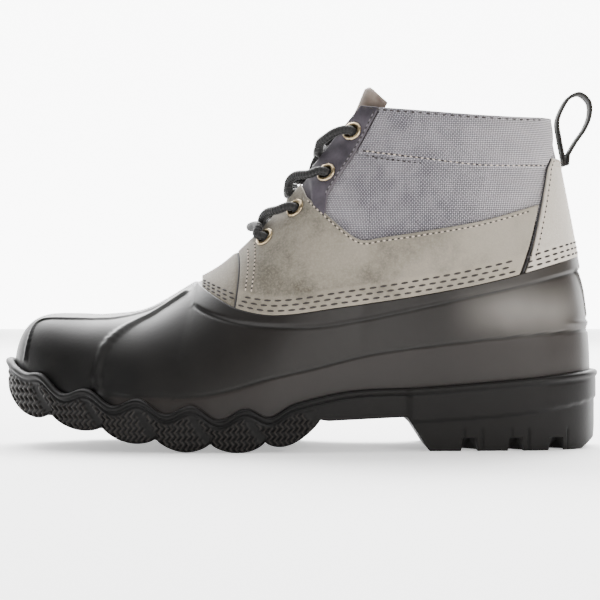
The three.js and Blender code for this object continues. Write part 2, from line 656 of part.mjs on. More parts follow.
// The lace's two ends are tucked inside the boot: each hangs down the shaft and lies on the footbed,
// the lateral one towards the heel and the medial one towards the toe.
const TAILS = {
  lateral: [
    [31.2, -12.9, 155.5], [33.6, -13.6, 152.8], [36.6, -14, 149], [40, -14.3, 143.5], [43, -14.8, 136],
    [45.2, -15.6, 126], [46.6, -16.6, 112], [47.4, -17.6, 94], [48, -18.4, 75], [48.8, -19, 57], [51.5, -19.4, 44.5],
    [58, -19.8, 38], [67, -20, 37.9], [80, -20.2, 39.2], [94, -19.8, 40.4], [107, -17.2, 41.2], [117, -10, 41.6],
    [120.5, -1, 41.8],
  ],
  medial: [
    [31, 12.9, 155.2], [33.4, 13.4, 152.5], [36.4, 13.2, 148.8], [39.6, 13, 143.5], [42.2, 13.4, 136],
    [44, 14, 126], [45.2, 15, 112], [45.8, 16, 94], [46, 16.8, 75], [45.2, 17.4, 57], [42.4, 17.8, 44],
    [36, 18, 37], [27, 18, 34.4], [13, 18.6, 32.2], [-2, 20, 30], [-18, 22, 28], [-36, 23.8, 26.5],
  ],
};
const AGLET = 16;
for (const [name, points] of Object.entries(TAILS)) {
  add(`lace_tail_${name}`, tube(points.map((p) => V(...p)), LACE_R, 8, 54), CORD);
  const [before, end] = points.slice(-2).map((p) => V(...p));
  const way = end.clone().sub(before).normalize();
  const g = new THREE.CylinderGeometry(1.7, 1.7, AGLET, 10);
  g.applyQuaternion(new THREE.Quaternion().setFromUnitVectors(V(0, 1, 0), way));
  add(`aglet_${name}`, g.translate(...end.addScaledVector(way, AGLET / 2 + FIT).toArray()), RUBBER);
}

// Piping along each edge of the backstay.
const PIPING_R = 0.6;
for (const [side, name] of [[-1, "lateral"], [1, "medial"]]) {
  const line = steps(0.02, 0.98, 8).map((b) => {
    const l = onStayEdge(side, 0, b, shellTop, stayTop);
    return off(l, lerp(shellTop(l), stayTop(l), b), PIPING_R / 2);
  });
  add(`backstay_piping_${name}`, tube(line, PIPING_R, 6, 14), CORD);
}

// ---------------------------------------------------------------- pull loop

const STRAP = { width: 12, thick: 1.8 };
const STRAP_LINE = [
  [135.2, 147.8], [133.2, 158], [132.2, 166], [134.6, 173], [138.4, 178.6], [143.6, 180.6], [148.4, 176.6],
  [148.9, 170], [146.4, 163], [141.4, 155.6], [137.6, 149.4],
];
function strap(line, half) {
  const path = new THREE.CatmullRomCurve3(line.map(([x, z]) => V(x, 0, z)), false, "centripetal");
  const at = path.getSpacedPoints(28);
  const side = (sign) => at.map((p, i) => {
    const t = at[Math.min(i + 1, at.length - 1)].clone().sub(at[Math.max(i - 1, 0)]).normalize();
    return [p.x - t.z * sign * half, p.z + t.x * sign * half];
  });
  return [...side(1), ...side(-1).reverse()];
}
add("pull_loop", across(strap(STRAP_LINE, STRAP.thick / 2), -STRAP.width / 2, STRAP.width / 2), CORD);

export default boot;
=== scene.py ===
"""The looks of a left deck boot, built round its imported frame.

The boot's outside is one curved wall, worked out by form() below in millimetres. Each piece of the
upper is a patch of that wall with a thickness; the frame's own units are metres.
"""

import math

import bmesh
import bpy
import numpy as np
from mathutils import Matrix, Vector


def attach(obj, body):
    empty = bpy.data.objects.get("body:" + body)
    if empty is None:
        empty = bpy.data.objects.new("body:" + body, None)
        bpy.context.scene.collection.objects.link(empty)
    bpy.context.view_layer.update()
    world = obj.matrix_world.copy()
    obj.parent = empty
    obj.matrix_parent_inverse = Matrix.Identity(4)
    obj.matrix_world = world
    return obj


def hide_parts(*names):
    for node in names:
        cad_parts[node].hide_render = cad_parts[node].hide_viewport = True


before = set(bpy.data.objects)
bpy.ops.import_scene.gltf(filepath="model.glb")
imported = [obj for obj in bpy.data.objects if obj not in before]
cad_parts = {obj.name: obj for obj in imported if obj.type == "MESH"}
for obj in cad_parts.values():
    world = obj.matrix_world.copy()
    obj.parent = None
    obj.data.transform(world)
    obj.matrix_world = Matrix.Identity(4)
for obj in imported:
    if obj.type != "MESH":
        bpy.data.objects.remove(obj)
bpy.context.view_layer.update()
MM = 0.001
BODY = "boot"

# ------------------------------------------------------------------ camera and lamps

EYE_DISTANCE = 1.0
EYE_HEIGHT = 0.0747
LENS = 116.5
SENSOR = 36.0


def add_object(name, data):
    """A new object. One that looks like a CAD node of the same name is called a cover."""
    made = bpy.data.objects.new(name + "_cover" if name in bpy.data.objects else name, data)
    bpy.context.scene.collection.objects.link(made)
    return made


def camera():
    data = bpy.data.cameras.new("camera")
    data.lens = LENS
    data.sensor_width = SENSOR
    data.clip_start = 0.05
    data.clip_end = 20
    cam = add_object("camera", data)
    cam.location = (0, -EYE_DISTANCE, EYE_HEIGHT)
    cam.rotation_euler = (math.radians(90), 0, 0)
    bpy.context.scene.camera = cam


WARM, WHITE = (1, 0.985, 0.96), (1, 1, 1)


def softbox(name, place, aim, size, power, colour):
    data = bpy.data.lights.new(name, "AREA")
    data.shape = "RECTANGLE"
    data.size, data.size_y = size
    data.energy = power
    data.color = colour
    lamp = add_object(name, data)
    lamp.location = place
    lamp.rotation_euler = (Vector(aim) - Vector(place)).to_track_quat("-Z", "Y").to_euler()


# ------------------------------------------------------------------ node helpers


class Value:
    """A socket that takes part in Python arithmetic by adding Math nodes."""

    def __init__(self, nodes, socket):
        self.nodes = nodes
        self.socket = socket

    def maths(self, operation, *others):
        return self.nodes.add("ShaderNodeMath", {"operation": operation}, dict(enumerate((self, *others))))

    def __add__(self, other):
        return self.maths("ADD", other)

    __radd__ = __add__

    def __mul__(self, other):
        return self.maths("MULTIPLY", other)

    __rmul__ = __mul__

    def __sub__(self, other):
        return self.maths("SUBTRACT", other)

    def __rsub__(self, other):
        return (self * -1.0) + other

    def __truediv__(self, other):
        return self.maths("DIVIDE", other)

    def __pow__(self, other):
        return self.maths("POWER", other)

    def __abs__(self):
        return self.maths("ABSOLUTE")

    def sin(self):
        return self.maths("SINE")

    def fraction(self):
        return self.maths("FRACT")

    def floor(self):
        return self.maths("FLOOR")

    def between(self, low, high):
        """0 below low, 1 above high and smooth between; low may be the larger."""
        settings = {"interpolation_type": "SMOOTHSTEP"}
        if low > high:
            return self.nodes.add("ShaderNodeMapRange", settings, {0: self, 1: high, 2: low, 3: 1.0, 4: 0.0})
        return self.nodes.add("ShaderNodeMapRange", settings, {0: self, 1: low, 2: high})


class Nodes:
    """Adds nodes to one tree."""

    def __init__(self, tree):
        self.tree = tree
        tree.nodes.clear()

    def node(self, kind, settings=None, inputs=None):
        """Any node, from its type, its settings, and the values or links of its sockets."""
        made = self.tree.nodes.new(kind)
        for key, value in (settings or {}).items():
            setattr(made, key, value)
        for key, value in (inputs or {}).items():
            if isinstance(value, Value):
                self.tree.links.new(value.socket, made.inputs[key])
            else:
                made.inputs[key].default_value = value
        return made

    def add(self, kind, settings=None, inputs=None, output=0):
        """What comes out of a new node."""
        return Value(self, self.node(kind, settings, inputs).outputs[output])

    def noise(self, where, scale, detail=3.0, roughness=0.55):
        inputs = {"Vector": where, "Scale": scale, "Detail": detail, "Roughness": roughness}
        return self.add("ShaderNodeTexNoise", None, inputs)

    def mix(self, share, first, second):
        first, second = (v if isinstance(v, Value) else (*v, 1) for v in (first, second))
        return self.add("ShaderNodeMix", {"data_type": "RGBA"}, {0: share, 6: first, 7: second}, output=2)

    def own(self, name):
        """A number kept on the mesh."""
        return self.add("ShaderNodeAttribute", {"attribute_name": name}, output=2)

    def place(self):
        """The point on the object, in metres."""
        return self.add("ShaderNodeTexCoord", output=3)

    def unwrapped(self):
        """The point on the piece's own flat pattern, in millimetres."""
        return self.add("ShaderNodeTexCoord", output=2)

    def split(self, vector):
        parts = self.node("ShaderNodeSeparateXYZ", None, {0: vector})
        return [Value(self, socket) for socket in parts.outputs]

    def join(self, *parts):
        return self.add("ShaderNodeCombineXYZ", None, dict(enumerate(parts)))

    def bump(self, height, distance, strength):
        inputs = {"Height": height, "Distance": distance, "Strength": strength}
        return self.add("ShaderNodeBump", None, inputs)

    def surface(self, colour, roughness, normal=None, metallic=0.0, **fixed):
        """The finish; fixed holds other sockets of the shader by name."""
        inputs = {key.replace("_", " "): value for key, value in fixed.items()}
        inputs["Base Color"] = colour if isinstance(colour, Value) else (*colour, 1)
        inputs["Roughness"] = roughness
        inputs["Metallic"] = metallic
        if normal:
            inputs["Normal"] = normal
        shader = self.add("ShaderNodeBsdfPrincipled", None, inputs)
        self.node("ShaderNodeOutputMaterial", None, {"Surface": shader})


def material(build):
    """A material named after the function that lays its nodes."""
    made = bpy.data.materials.new(build.__name__)
    made.use_nodes = True
    build(Nodes(made.node_tree))
    return made


# ------------------------------------------------------------------ the boot's wall, in millimetres

TOE = 14
COLLAR_CORNER = 5
THROAT_END = 9
NEAR_THROAT_END = 8.85
WELT = 3.0
LEATHER_OUT, LEATHER_IN = 0.9, -0.7
CLOTH_OUT, CLOTH_IN = -1.3, -2.5
# How finely the wall is sampled: along it for its outward direction, and up it to find a line.
NUDGE, RIDGE_STEP = 0.004, 0.2
HALVINGS, SETBACK_STEPS = 22, 250

# Rows round the boot from the heel to the toe: feather line x, lateral y, medial y; top line x,
# half width, z, middle y; then how the wall leaves each of them: forwards, outwards, up.
ROWS = np.array([
    [148, 0, 0, 129, 0, 167.5, 0, 2.5, 0, 45, 7, 0, -45],
    [141, -20.5, 20.5, 123.5, 17, 167, -0.5, 2, 1.5, 45, 5, 2, -45],
    [122, -33.5, 33, 107, 28, 166.5, -1, 1, 3, 45, 3, 2.5, -45],
    [92, -37, 33.5, 83, 32.5, 167.5, -1, 0, 3, 45, 2, 2.5, -45],
    [58, -39, 31, 57, 28.5, 170, -0.5, 0, 2, 45, 6, 5, -42],
    [28, -43, 32, 31, 12.5, 173.5, 0, 0, 2, 45, 11, 16, -24],
    [2, -47, 38, 13, 12, 150.5, 0.5, 0, 1, 40, 10, 21, -13],
    [-20, -50, 44.5, -8, 12, 123, 1, 0, 1, 35, 8, 23, -12],
    [-42, -51, 49.5, -35, 9, 96, 2, 0, 1, 32, 5, 26, -10],
    [-64, -50.5, 51, -54, 0, 84.5, 3, 0, 1, 30, 3, 28, -6],
    [-88, -47, 49, -78, 0, 71, 4, 0, 1, 30, 2, 34, -3],
    [-110, -38.5, 44, -98, 0, 67.8, 4.5, -1, 1, 30, -3, 32, -1],
    [-129, -25, 35.5, -112, 0, 67.9, 5, -2, 1, 28, -8, 22, 0],
    [-143, -8, 21.5, -120, 0, 68, 5.5, -2, 1, 26, -13, 10, 0],
    [-148, 7, 7, -124, 0, 67.9, 6, 0, 0, 25, -16, 0, 0],
], float)
# Lines on the boot as seen from the side, in x and z.
FLOOR = [[-148, 33], [-143, 30], [-129, 22], [-110, 16], [-88, 12], [-64, 10], [-42, 10], [-20, 12],
         [2, 15], [28, 18], [58, 21.5], [92, 25], [122, 26.5], [148, 27]]
SHELL_TOP = [[-54, 84.5], [-43, 76.5], [-30, 69.8], [-12, 67], [20, 71], [60, 77], [100, 85], [142, 97]]
LEATHER_TOP = [[-6, 136], [10, 120.5], [24, 108], [31, 104.4], [40, 105.6], [60, 108.6], [92, 114.4],
               [126, 124.5]]
BAND_FOOT = [[14, 149], [34, 148], [60, 144.3], [92, 140.5], [132, 141.3]]
# The facing's rear edge and the backstay's edge, by height: z with x, and z with the place round the boot.
FACING_REAR = [[120, 9], [127.6, 13.6], [134, 17.5], [151.3, 29], [169.9, 39], [180, 45]]
STAY_EDGE = [[86, 2.3], [140, 1.25], [147, 0.95], [168, 0.3]]


def smooth(x, low, high):
    """0 below low, 1 above high and smooth between."""
    t = np.clip((np.asarray(x, float) - low) / (high - low), 0, 1)
    return t * t * (3 - 2 * t)


def mixed(a, b, t):
    return a + (b - a) * t


def hermite(t, b, m1, c, m2):
    """A curve from b to c that leaves them along m1 and m2."""
    t2, t3 = t * t, t * t * t
    return (2 * t3 - 3 * t2 + 1) * b + (t3 - 2 * t2 + t) * m1 + (3 * t2 - 2 * t3) * c + (t3 - t2) * m2


def curve(pairs, x):
    """A smooth curve through pairs of x and y."""
    p = np.array(pairs, float)
    x = np.asarray(x, float)
    last = len(p) - 1
    k = np.arange(len(p))
    after, before = p[np.minimum(last, k + 1)], p[np.maximum(0, k - 1)]
    slope = (after[:, 1] - before[:, 1]) / (after[:, 0] - before[:, 0])
    i = np.clip(np.searchsorted(p[:, 0], x) - 1, 0, last - 1)
    width = p[i + 1, 0] - p[i, 0]
    t = np.clip((x - p[i, 0]) / width, 0, 1)
    return hermite(t, p[i, 1], width * slope[i], p[i + 1, 1], width * slope[i + 1])


def rows(k):
    """Foot (2), top (4), low handle (3) and high handle (3) of rows k."""
    i = (k + 3 * TOE) % (2 * TOE) - TOE
    side = np.where(i < 0, -1, 1)
    r = np.moveaxis(ROWS[np.abs(i)], -1, 0)
    parts = [r[0], np.where(side < 0, r[1], r[2]), r[3], r[6] + side * r[4], r[5], r[6],
             r[7], side * r[8], r[9], r[10], side * r[11], r[12]]
    return np.stack(parts, -1)


def column(l):
    """The four control points of the wall's curve at l, and its middle y."""
    i = np.floor(l).astype(int)
    t = (l - i)[..., None]
    a, b, c, d = (rows(i + n) for n in (-1, 0, 1, 2))
    m1, m2 = (c - a) / 2, (d - b) / 2
    top = np.zeros(12, bool)
    top[2:6] = True
    for m, k in ((m1, i), (m2, i + 1)):
        corner = np.isin(np.abs(k), (COLLAR_CORNER, THROAT_END))[..., None] & top
        m[corner] = (c - b)[corner]
    r = np.moveaxis(hermite(t, b, m1, c, m2), -1, 0)
    side = np.where(l < 0, -1, 1)
    foot = np.stack([r[0], r[1], curve(FLOOR, r[0])], -1)
    head = np.stack([r[2], r[5] + side * np.maximum(0, side * (r[3] - r[5])), r[4]], -1)
    low = foot + np.stack(list(r[6:9]), -1)
    high = head + np.stack(list(r[9:12]), -1)
    return foot, low, high, head, r[5]


def both(l, v):
    """Both as arrays of one shape."""
    return np.broadcast_arrays(np.asarray(l, float), np.asarray(v, float))


def form(l, v):
    """The wall's point at place l round the boot, 0 at the heel and 14 at the toe, and height v."""
    l, v = both(l, v)
    foot, low, high, head, middle = column(l)
    w = np.clip(v, 0, None)[..., None]
    u = 1 - w
    wall = u**3 * foot + 3 * u * u * w * low + 3 * u * w * w * high + w**3 * head
    x = foot[..., 0] * 0.7
    centre = np.stack([x, middle, curve(FLOOR, x)], -1)
    s = np.clip(-v, 0, None)[..., None]
    return np.where(s > 0, foot + (centre - foot) * s, wall)


def unit(p):
    return p / np.maximum(np.linalg.norm(p, axis=-1, keepdims=True), 1e-9)


def normal(l, v):
    """The wall's outward direction; along the closed ridge it is square to the ridge."""
    l, v = both(l, v)
    foot, low, high, head, _ = column(l)
    w = np.clip(v, 0, 1)[..., None]
    u = 1 - w
    rise = (low - foot) * u * u + (high - low) * 2 * u * w + (head - high) * w * w
    w = np.clip(v, 0, 1)
    n = unit(np.cross(form(l + NUDGE, w) - form(l - NUDGE, w), rise))
    s = np.minimum(np.abs(l), TOE - RIDGE_STEP)
    t = form(s - RIDGE_STEP, 1) - form(s + RIDGE_STEP, 1)
    ridge = unit(np.stack([-t[..., 2], 0 * s, t[..., 0]], -1))
    n = np.where(((v >= 1) & (np.abs(l) >= THROAT_END))[..., None], ridge, n)
    return np.where((v < 0)[..., None], np.array([0, 0, -1.0]), n)


def off(l, v, d):
    """The point d outside the wall at l and v."""
    l, v = both(l, v)
    return form(l, v) + normal(l, v) * np.broadcast_to(d, l.shape)[..., None]


def crossing(l, test):
    """The v at which the wall at l crosses a line; test(points) is positive above it."""
    l = np.asarray(l, float)
    low, high = np.zeros(l.shape), np.ones(l.shape)
    for _ in range(HALVINGS):
        mid = (low + high) / 2
        above = test(form(l, mid)) > 0
        high = np.where(above, mid, high)
        low = np.where(above, low, mid)
    return np.where(test(form(l, 1.0)) < 0, 1.0, low)


def at_height(l, line, rise=0.0):
    """The v at which the wall meets a side-view line, or lies rise above it."""
    return crossing(l, lambda p: p[..., 2] - curve(line, p[..., 0]) - rise)


def setback(l, d):
    """The v that lies d millimetres back from the top line."""
    l, d = both(l, d)
    v = np.linspace(1, 0, SETBACK_STEPS + 1)
    gone = np.linalg.norm(np.diff(form(l[..., None], v), axis=-2), axis=-1).cumsum(-1)
    count = (gone < d[..., None]).sum(-1)
    return 1 - (count + 1) / SETBACK_STEPS


# ------------------------------------------------------------------ meshes

MERGE = 0.00001

def mesh_object(name, points, faces, look, nodes=(), uv=None, body=BODY, values=None):
    """A finished piece from points in millimetres; uv is a pair and each of values a number per point."""
    mesh = bpy.data.meshes.new(name)
    mesh.from_pydata((np.asarray(points) * MM).tolist(), [], faces)
    if uv is not None:
        layer = mesh.uv_layers.new(name="UVMap")
        index = np.empty(len(mesh.loops), int)
        mesh.loops.foreach_get("vertex_index", index)
        layer.data.foreach_set("uv", np.asarray(uv, float)[index].ravel())
    for key, numbers in (values or {}).items():
        attribute = mesh.attributes.new(key, "FLOAT", "POINT")
        attribute.data.foreach_set("value", np.asarray(numbers, float).ravel())
    bm = bmesh.new()
    bm.from_mesh(mesh)
    bmesh.ops.remove_doubles(bm, verts=bm.verts, dist=MERGE)
    bmesh.ops.dissolve_degenerate(bm, edges=bm.edges, dist=MERGE / 10)
    bmesh.ops.recalc_face_normals(bm, faces=bm.faces)
    bm.to_mesh(mesh)
    bm.free()
    mesh.shade_smooth()
    mesh.materials.append(look)
    piece = add_object(name, mesh)
    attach(piece, body)
    if nodes:
        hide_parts(*nodes)
    return piece


def baked(piece):
    """The piece's mesh as its modifiers leave it."""
    bpy.context.view_layer.update()
    return bpy.data.meshes.new_from_object(piece.evaluated_get(bpy.context.evaluated_depsgraph_get()))


def cut_away(piece, bm):
    """Takes the closed shapes in bm out of a piece's mesh."""
    bmesh.ops.recalc_face_normals(bm, faces=bm.faces)
    mesh = bpy.data.meshes.new("tool")
    bm.to_mesh(mesh)
    bm.free()
    tool = add_object("tool", mesh)
    cut = piece.modifiers.new("cut", "BOOLEAN")
    cut.operation, cut.solver, cut.object = "DIFFERENCE", "EXACT", tool
    made = baked(piece)
    piece.modifiers.remove(cut)
    bpy.data.objects.remove(tool)
    old, piece.data = piece.data, made
    bpy.data.meshes.remove(old)


def slab_faces(n, m, low=True, high=None, ends=True):
    """Faces of a slab between an outer and an inner grid of n by m points.

    low closes its lower edge, high tells where its upper edge is closed, and ends closes both ends.
    """
    faces = []
    size = n * m
    for i in range(n - 1):
        for j in range(m - 1):
            a, b, c, d = i * m + j, (i + 1) * m + j, (i + 1) * m + j + 1, i * m + j + 1
            faces.append((a, b, c, d))
            faces.append((size + a, size + d, size + c, size + b))
        if high is None or high(i):
            a, b = i * m + m - 1, (i + 1) * m + m - 1
            faces.append((a, b, size + b, size + a))
        if low:
            a, b = i * m, (i + 1) * m
            faces.append((b, a, size + a, size + b))
    if ends:
        for j in range(m - 1):
            faces.append((j, j + 1, size + j + 1, size + j))
            a = (n - 1) * m + j
            faces.append((a + 1, a, size + a, size + a + 1))
    return faces


def rounded(p, radius):
    """How far a sheet's face drops near the sheet's edges, for a grid of points."""
    def along(q):
        step = np.linalg.norm(np.diff(q, axis=0), axis=-1)
        gone = np.concatenate([np.zeros((1, q.shape[1])), step.cumsum(0)])
        return np.minimum(gone, gone[-1] - gone)
    near = np.minimum(along(p), along(p.swapaxes(0, 1)).T)
    near = np.clip(near, 0, radius)
    return radius - np.sqrt(radius**2 - (radius - near) ** 2), near


def travelled(path):
    """The length of the path up to each of its points."""
    return np.concatenate([[0], np.linalg.norm(np.diff(path, axis=0), axis=-1).cumsum()])


def fine(n, edge=0.012):
    """n shares from 0 to 1 with some more close to both ends."""
    extra = np.array([0, 0.15, 0.45, 1.0]) * edge
    inner = np.linspace(edge * 1.6, 1 - edge * 1.6, n)
    return np.concatenate([extra, inner, 1 - extra[::-1]])


GIRTH = np.linspace(-TOE, TOE, 1121)
GIRTH_LENGTH = travelled(form(GIRTH, 0.7))


def cloth_uv(l, p):
    """Millimetres round the boot and up it."""
    return np.stack([np.interp(l, GIRTH, GIRTH_LENGTH), p[..., 2]], -1)


def stacked(outer, inner):
    """The points of two grids in one list, the outer grid's first."""
    return np.concatenate([outer.reshape(-1, 3), inner.reshape(-1, 3)])


def doubled(uv):
    """The same flat pattern for both grids of a slab."""
    return np.tile(uv.reshape(-1, 2), (2, 1))


HEM_FADE = 8.5, 10.5


def patch(name, place, n, m, inner, outer, look, nodes, radius=0.6, puff=None, edge=0.012):
    """A panel of the upper: place(a, b) gives (l, v) for shares a along and b up."""
    a, b = np.meshgrid(fine(n, edge), fine(m, edge * 2), indexing="ij")
    l, v = both(*place(a, b))
    middle = off(l, v, (inner + outer) / 2)
    drop, near = rounded(middle, radius)
    d = outer - drop
    if puff:
        d = d + puff(l, v, middle)
    top, under = off(l, v, d), off(l, v, inner)
    edges = 1 - near / radius
    hem = 1 - smooth(middle[..., 2] - curve(SHELL_TOP, middle[..., 0]), *HEM_FADE)
    values = {"edge": np.stack([edges, edges * 0 + 1]), "hem": np.stack([hem, hem])}
    return mesh_object(name, stacked(top, under), slab_faces(*l.shape), look, nodes,
                       uv=doubled(cloth_uv(l, middle)), values=values)


def tube_mesh(path, radius, sides):
    """Points and faces of a round tube with rounded ends, and its uv: millimetres along and turns."""
    path = np.asarray(path, float)
    t = unit(np.gradient(path, axis=0))
    side = np.empty_like(path)
    axis = np.array([0, 0, 1.0]) if abs(t[0, 2]) < 0.9 else np.array([1.0, 0, 0])
    side[0] = unit(np.cross(t[0], axis))
    for i in range(1, len(path)):
        side[i] = unit(side[i - 1] - t[i] * side[i - 1].dot(t[i]))
    other = np.cross(t, side)
    gone = travelled(path)
    near = np.minimum(np.minimum(gone, gone[-1] - gone), radius)
    r = np.sqrt(np.maximum(radius**2 - (radius - near) ** 2, (0.2 * radius) ** 2))
    turn = np.linspace(0, 2 * np.pi, sides + 1)[:-1]
    rings = (path[:, None] + r[:, None, None] * (np.cos(turn)[None, :, None] * side[:, None]
             + np.sin(turn)[None, :, None] * other[:, None]))
    faces = []
    n = len(path)
    for i in range(n - 1):
        for j in range(sides):
            k = (j + 1) % sides
            faces.append((i * sides + j, i * sides + k, (i + 1) * sides + k, (i + 1) * sides + j))
    faces.append(tuple(range(sides))[::-1])
    faces.append(tuple(range((n - 1) * sides, n * sides)))
    uv = np.stack(np.broadcast_arrays(gone[:, None], turn[None] / (2 * np.pi)), -1).reshape(-1, 2)
    return rings.reshape(-1, 3), faces, uv


def spline(points, step):
    """Points about `step` apart on a centripetal curve through the given ones."""
    p = np.asarray(points, float)
    p = np.concatenate([[2 * p[0] - p[1]], p, [2 * p[-1] - p[-2]]])
    made = []
    for a, b, c, d in zip(p[:-3], p[1:-2], p[2:-1], p[3:]):
        k1, k2, k3 = (max(np.linalg.norm(q) ** 0.5, 1e-4) for q in (b - a, c - b, d - c))
        m1 = ((b - a) / k1 - (c - a) / (k1 + k2) + (c - b) / k2) * k2
        m2 = ((c - b) / k2 - (d - b) / (k2 + k3) + (d - c) / k3) * k2
        count = max(2, int(np.linalg.norm(c - b) / step))
        t = np.arange(count)[:, None] / count
        made.append(hermite(t, b, m1, c, m2))
    made.append(p[-2][None])
    return np.concatenate(made)


# ------------------------------------------------------------------ materials


def grain(n, where, fine_scale, coarse_scale):
    return n.noise(where, fine_scale, 4) * 0.7 + n.noise(where, coarse_scale, 2) * 0.3


def nubuck(n, dark, light, rear):
    where = n.place()
    x = n.split(where)[0]
    cloud = n.noise(where, 34, 5, 0.65).between(0.34, 0.62)
    cloud = cloud * (0.45 + 0.55 * x.between(-0.06, 0.05))
    speck = n.noise(where, 900, 3, 0.7)
    body = n.mix(cloud, dark, light)
    # Painted light: lighter towards the heel, where the key light falls on the boot.
    body = n.mix(x.between(0.02, 0.13) * 0.65, body, rear)
    body = n.mix((speck - 0.5) * 1.2 + 0.08, body, [c * 1.5 for c in light])
    pale = [c * 1.3 for c in light]
    body = n.mix(n.own("hem") * (0.3 + cloud * 0.35), body, pale)
    colour = n.mix(n.own("edge") ** 2 * 0.6, body, [c * 1.5 for c in light])
    rough = 0.72 + speck * 0.16
    normal = n.bump(grain(n, where, 1500, 420), 0.0004, 0.55)
    n.surface(colour, rough, normal, Specular_IOR_Level=0.3, Sheen_Weight=0.12)


def leather(n):
    # The third colour is painted light towards the heel.
    nubuck(n, (0.075, 0.067, 0.05), (0.21, 0.186, 0.147), (0.29, 0.258, 0.212))


# Painted light: a lighter copy of the quarters' leather for the backstay, standing in for the light on the
# heel.
def heel_leather_painted_light(n):
    nubuck(n, (0.27, 0.24, 0.2), (0.39, 0.35, 0.295), (0.42, 0.38, 0.33))


def weave(n, pitch):
    u, v, _ = n.split(n.unwrapped())
    u, v = u / pitch, v / pitch
    over = (abs(u.floor() + v.floor()) * 0.5).fraction() * 2.0
    warp = abs((u * math.pi).sin())
    weft = abs((v * math.pi).sin())
    return warp * weft ** 0.5 * over + weft * warp ** 0.5 * (1.0 - over), over


def cloth(n, dark, light, rear, pitch=0.95):
    height, over = weave(n, pitch)
    where = n.place()
    x = n.split(where)[0]
    cloud = n.noise(where, 55, 4, 0.65).between(0.3, 0.72)
    thread = n.mix(cloud, dark, light)
    # Painted light: lighter towards the heel, where the key light falls on the boot.
    thread = n.mix(x.between(0.06, 0.135) * 0.75, thread, rear)
    # A painted highlight on the threads that lie over, and painted shade in the gaps between the threads.
    lit = n.mix(over * 0.45, thread, [c * 1.7 for c in light])
    colour = n.mix((1.0 - height).between(0.2, 0.85) * 0.92, lit, [c * 0.16 for c in dark])
    normal = n.bump(height + n.noise(where, 2500, 2) * 0.25, 0.0005, 0.8)
    n.surface(colour, 0.86, normal, Specular_IOR_Level=0.25, Sheen_Weight=0.15)


def canvas(n):
    # The third colour is painted light towards the heel.
    cloth(n, (0.12, 0.113, 0.135), (0.33, 0.313, 0.335), (0.66, 0.62, 0.62))


def facing(n):
    where = n.place()
    cloud = n.noise(where, 60, 4, 0.6).between(0.3, 0.7)
    colour = n.mix(cloud, (0.02, 0.017, 0.022), (0.066, 0.057, 0.07))
    colour = n.mix(n.own("edge") ** 2 * 0.4, colour, (0.16, 0.145, 0.15))
    n.surface(colour, 0.74, n.bump(grain(n, where, 1300, 380), 0.0003, 0.5), Specular_IOR_Level=0.3)


def lining_cloth(n):
    cloth(n, (0.11, 0.105, 0.11), (0.18, 0.17, 0.175), (0.18, 0.17, 0.175), 1.4)


def tongue_leather(n):
    where = n.place()
    cloud = n.noise(where, 70, 4, 0.6).between(0.3, 0.7)
    colour = n.mix(cloud, (0.1, 0.076, 0.06), (0.22, 0.175, 0.145))
    n.surface(colour, 0.7, n.bump(grain(n, where, 1200, 350), 0.0004, 0.5), Specular_IOR_Level=0.3)


def rubber(n):
    where = n.place()
    x, _, z = n.split(where)
    cloud = n.noise(where, 22, 3, 0.5)
    # Painted light: near black at the toe, lighter towards the middle and lighter again towards the heel,
    # standing in for the lamps' reflection on the rubber.
    body = n.mix(x.between(-0.1, 0.03), (0.0012, 0.0011, 0.0012), (0.0085, 0.0068, 0.0058))
    body = n.mix(x.between(0.06, 0.14) * 0.5, body, (0.05, 0.043, 0.037))
    # A painted highlight: a soft pale patch high on the heel, where the heel light's reflection falls.
    painted_highlight = n.noise(n.join(x, 0.0, z * 1.5), 26, 2).between(0.3, 0.7) * 0.4 + 0.6
    painted_highlight = painted_highlight * x.between(0.07, 0.11) * x.between(0.145, 0.125)
    painted_highlight = painted_highlight * z.between(0.05, 0.07) * z.between(0.086, 0.07)
    body = n.mix(painted_highlight * 0.9, body, (0.15, 0.138, 0.125))
    body = n.mix(n.own("low") * 0.7, body, (0.016, 0.0125, 0.011))
    body = n.mix((cloud - 0.35) * 0.4, body, (0.03, 0.027, 0.024))
    # Painted shade: the rim groove and the line between the layers are darkened.
    colour = n.mix(n.own("shaded_groove"), body, (0.01, 0.0095, 0.009))
    pores = n.noise(where, 700, 3, 0.6)
    rough = 0.36 + cloud * 0.14 + pores * 0.06
    n.surface(colour, rough, n.bump(pores, 0.00012, 0.35), Specular_IOR_Level=0.27)


def sole_rubber(n):
    where = n.place()
    x = n.split(where)[0]
    cloud = n.noise(where, 30, 3, 0.5)
    body = n.mix(x.between(-0.02, 0.09), (0.0016, 0.0014, 0.0013), (0.004, 0.0034, 0.003))
    body = n.mix(cloud.between(0.4, 0.75) * 0.35, body, (0.007, 0.006, 0.0053))
    # A painted highlight on the tops of the zigzag ribs.
    body = n.mix(n.own("rib") * 0.8, body, (0.021, 0.018, 0.016))
    # Painted shade in the sole's recesses and in the gap under the shell.
    colour = n.mix(n.own("shaded_groove"), body, (0.0012, 0.0012, 0.0012))
    pores = n.noise(where, 800, 3, 0.6)
    n.surface(colour, 0.42 + cloud * 0.16, n.bump(pores, 0.00015, 0.35), Specular_IOR_Level=0.17)


def braid(n):
    along_it, around, _ = n.split(n.unwrapped())
    a = (along_it * 2.1 + around * 2 * math.pi * 3).sin()
    b = (along_it * 2.1 - around * 2 * math.pi * 3).sin()
    height = (a * b).between(-0.7, 0.7)
    # Painted shade in the gaps between the strands and a painted highlight on their tops.
    colour = n.mix(height, (0.0018, 0.0018, 0.0018), (0.011, 0.0105, 0.0105))
    n.surface(colour, 0.72, n.bump(height, 0.0004, 0.8), Specular_IOR_Level=0.35, Sheen_Weight=0.1)


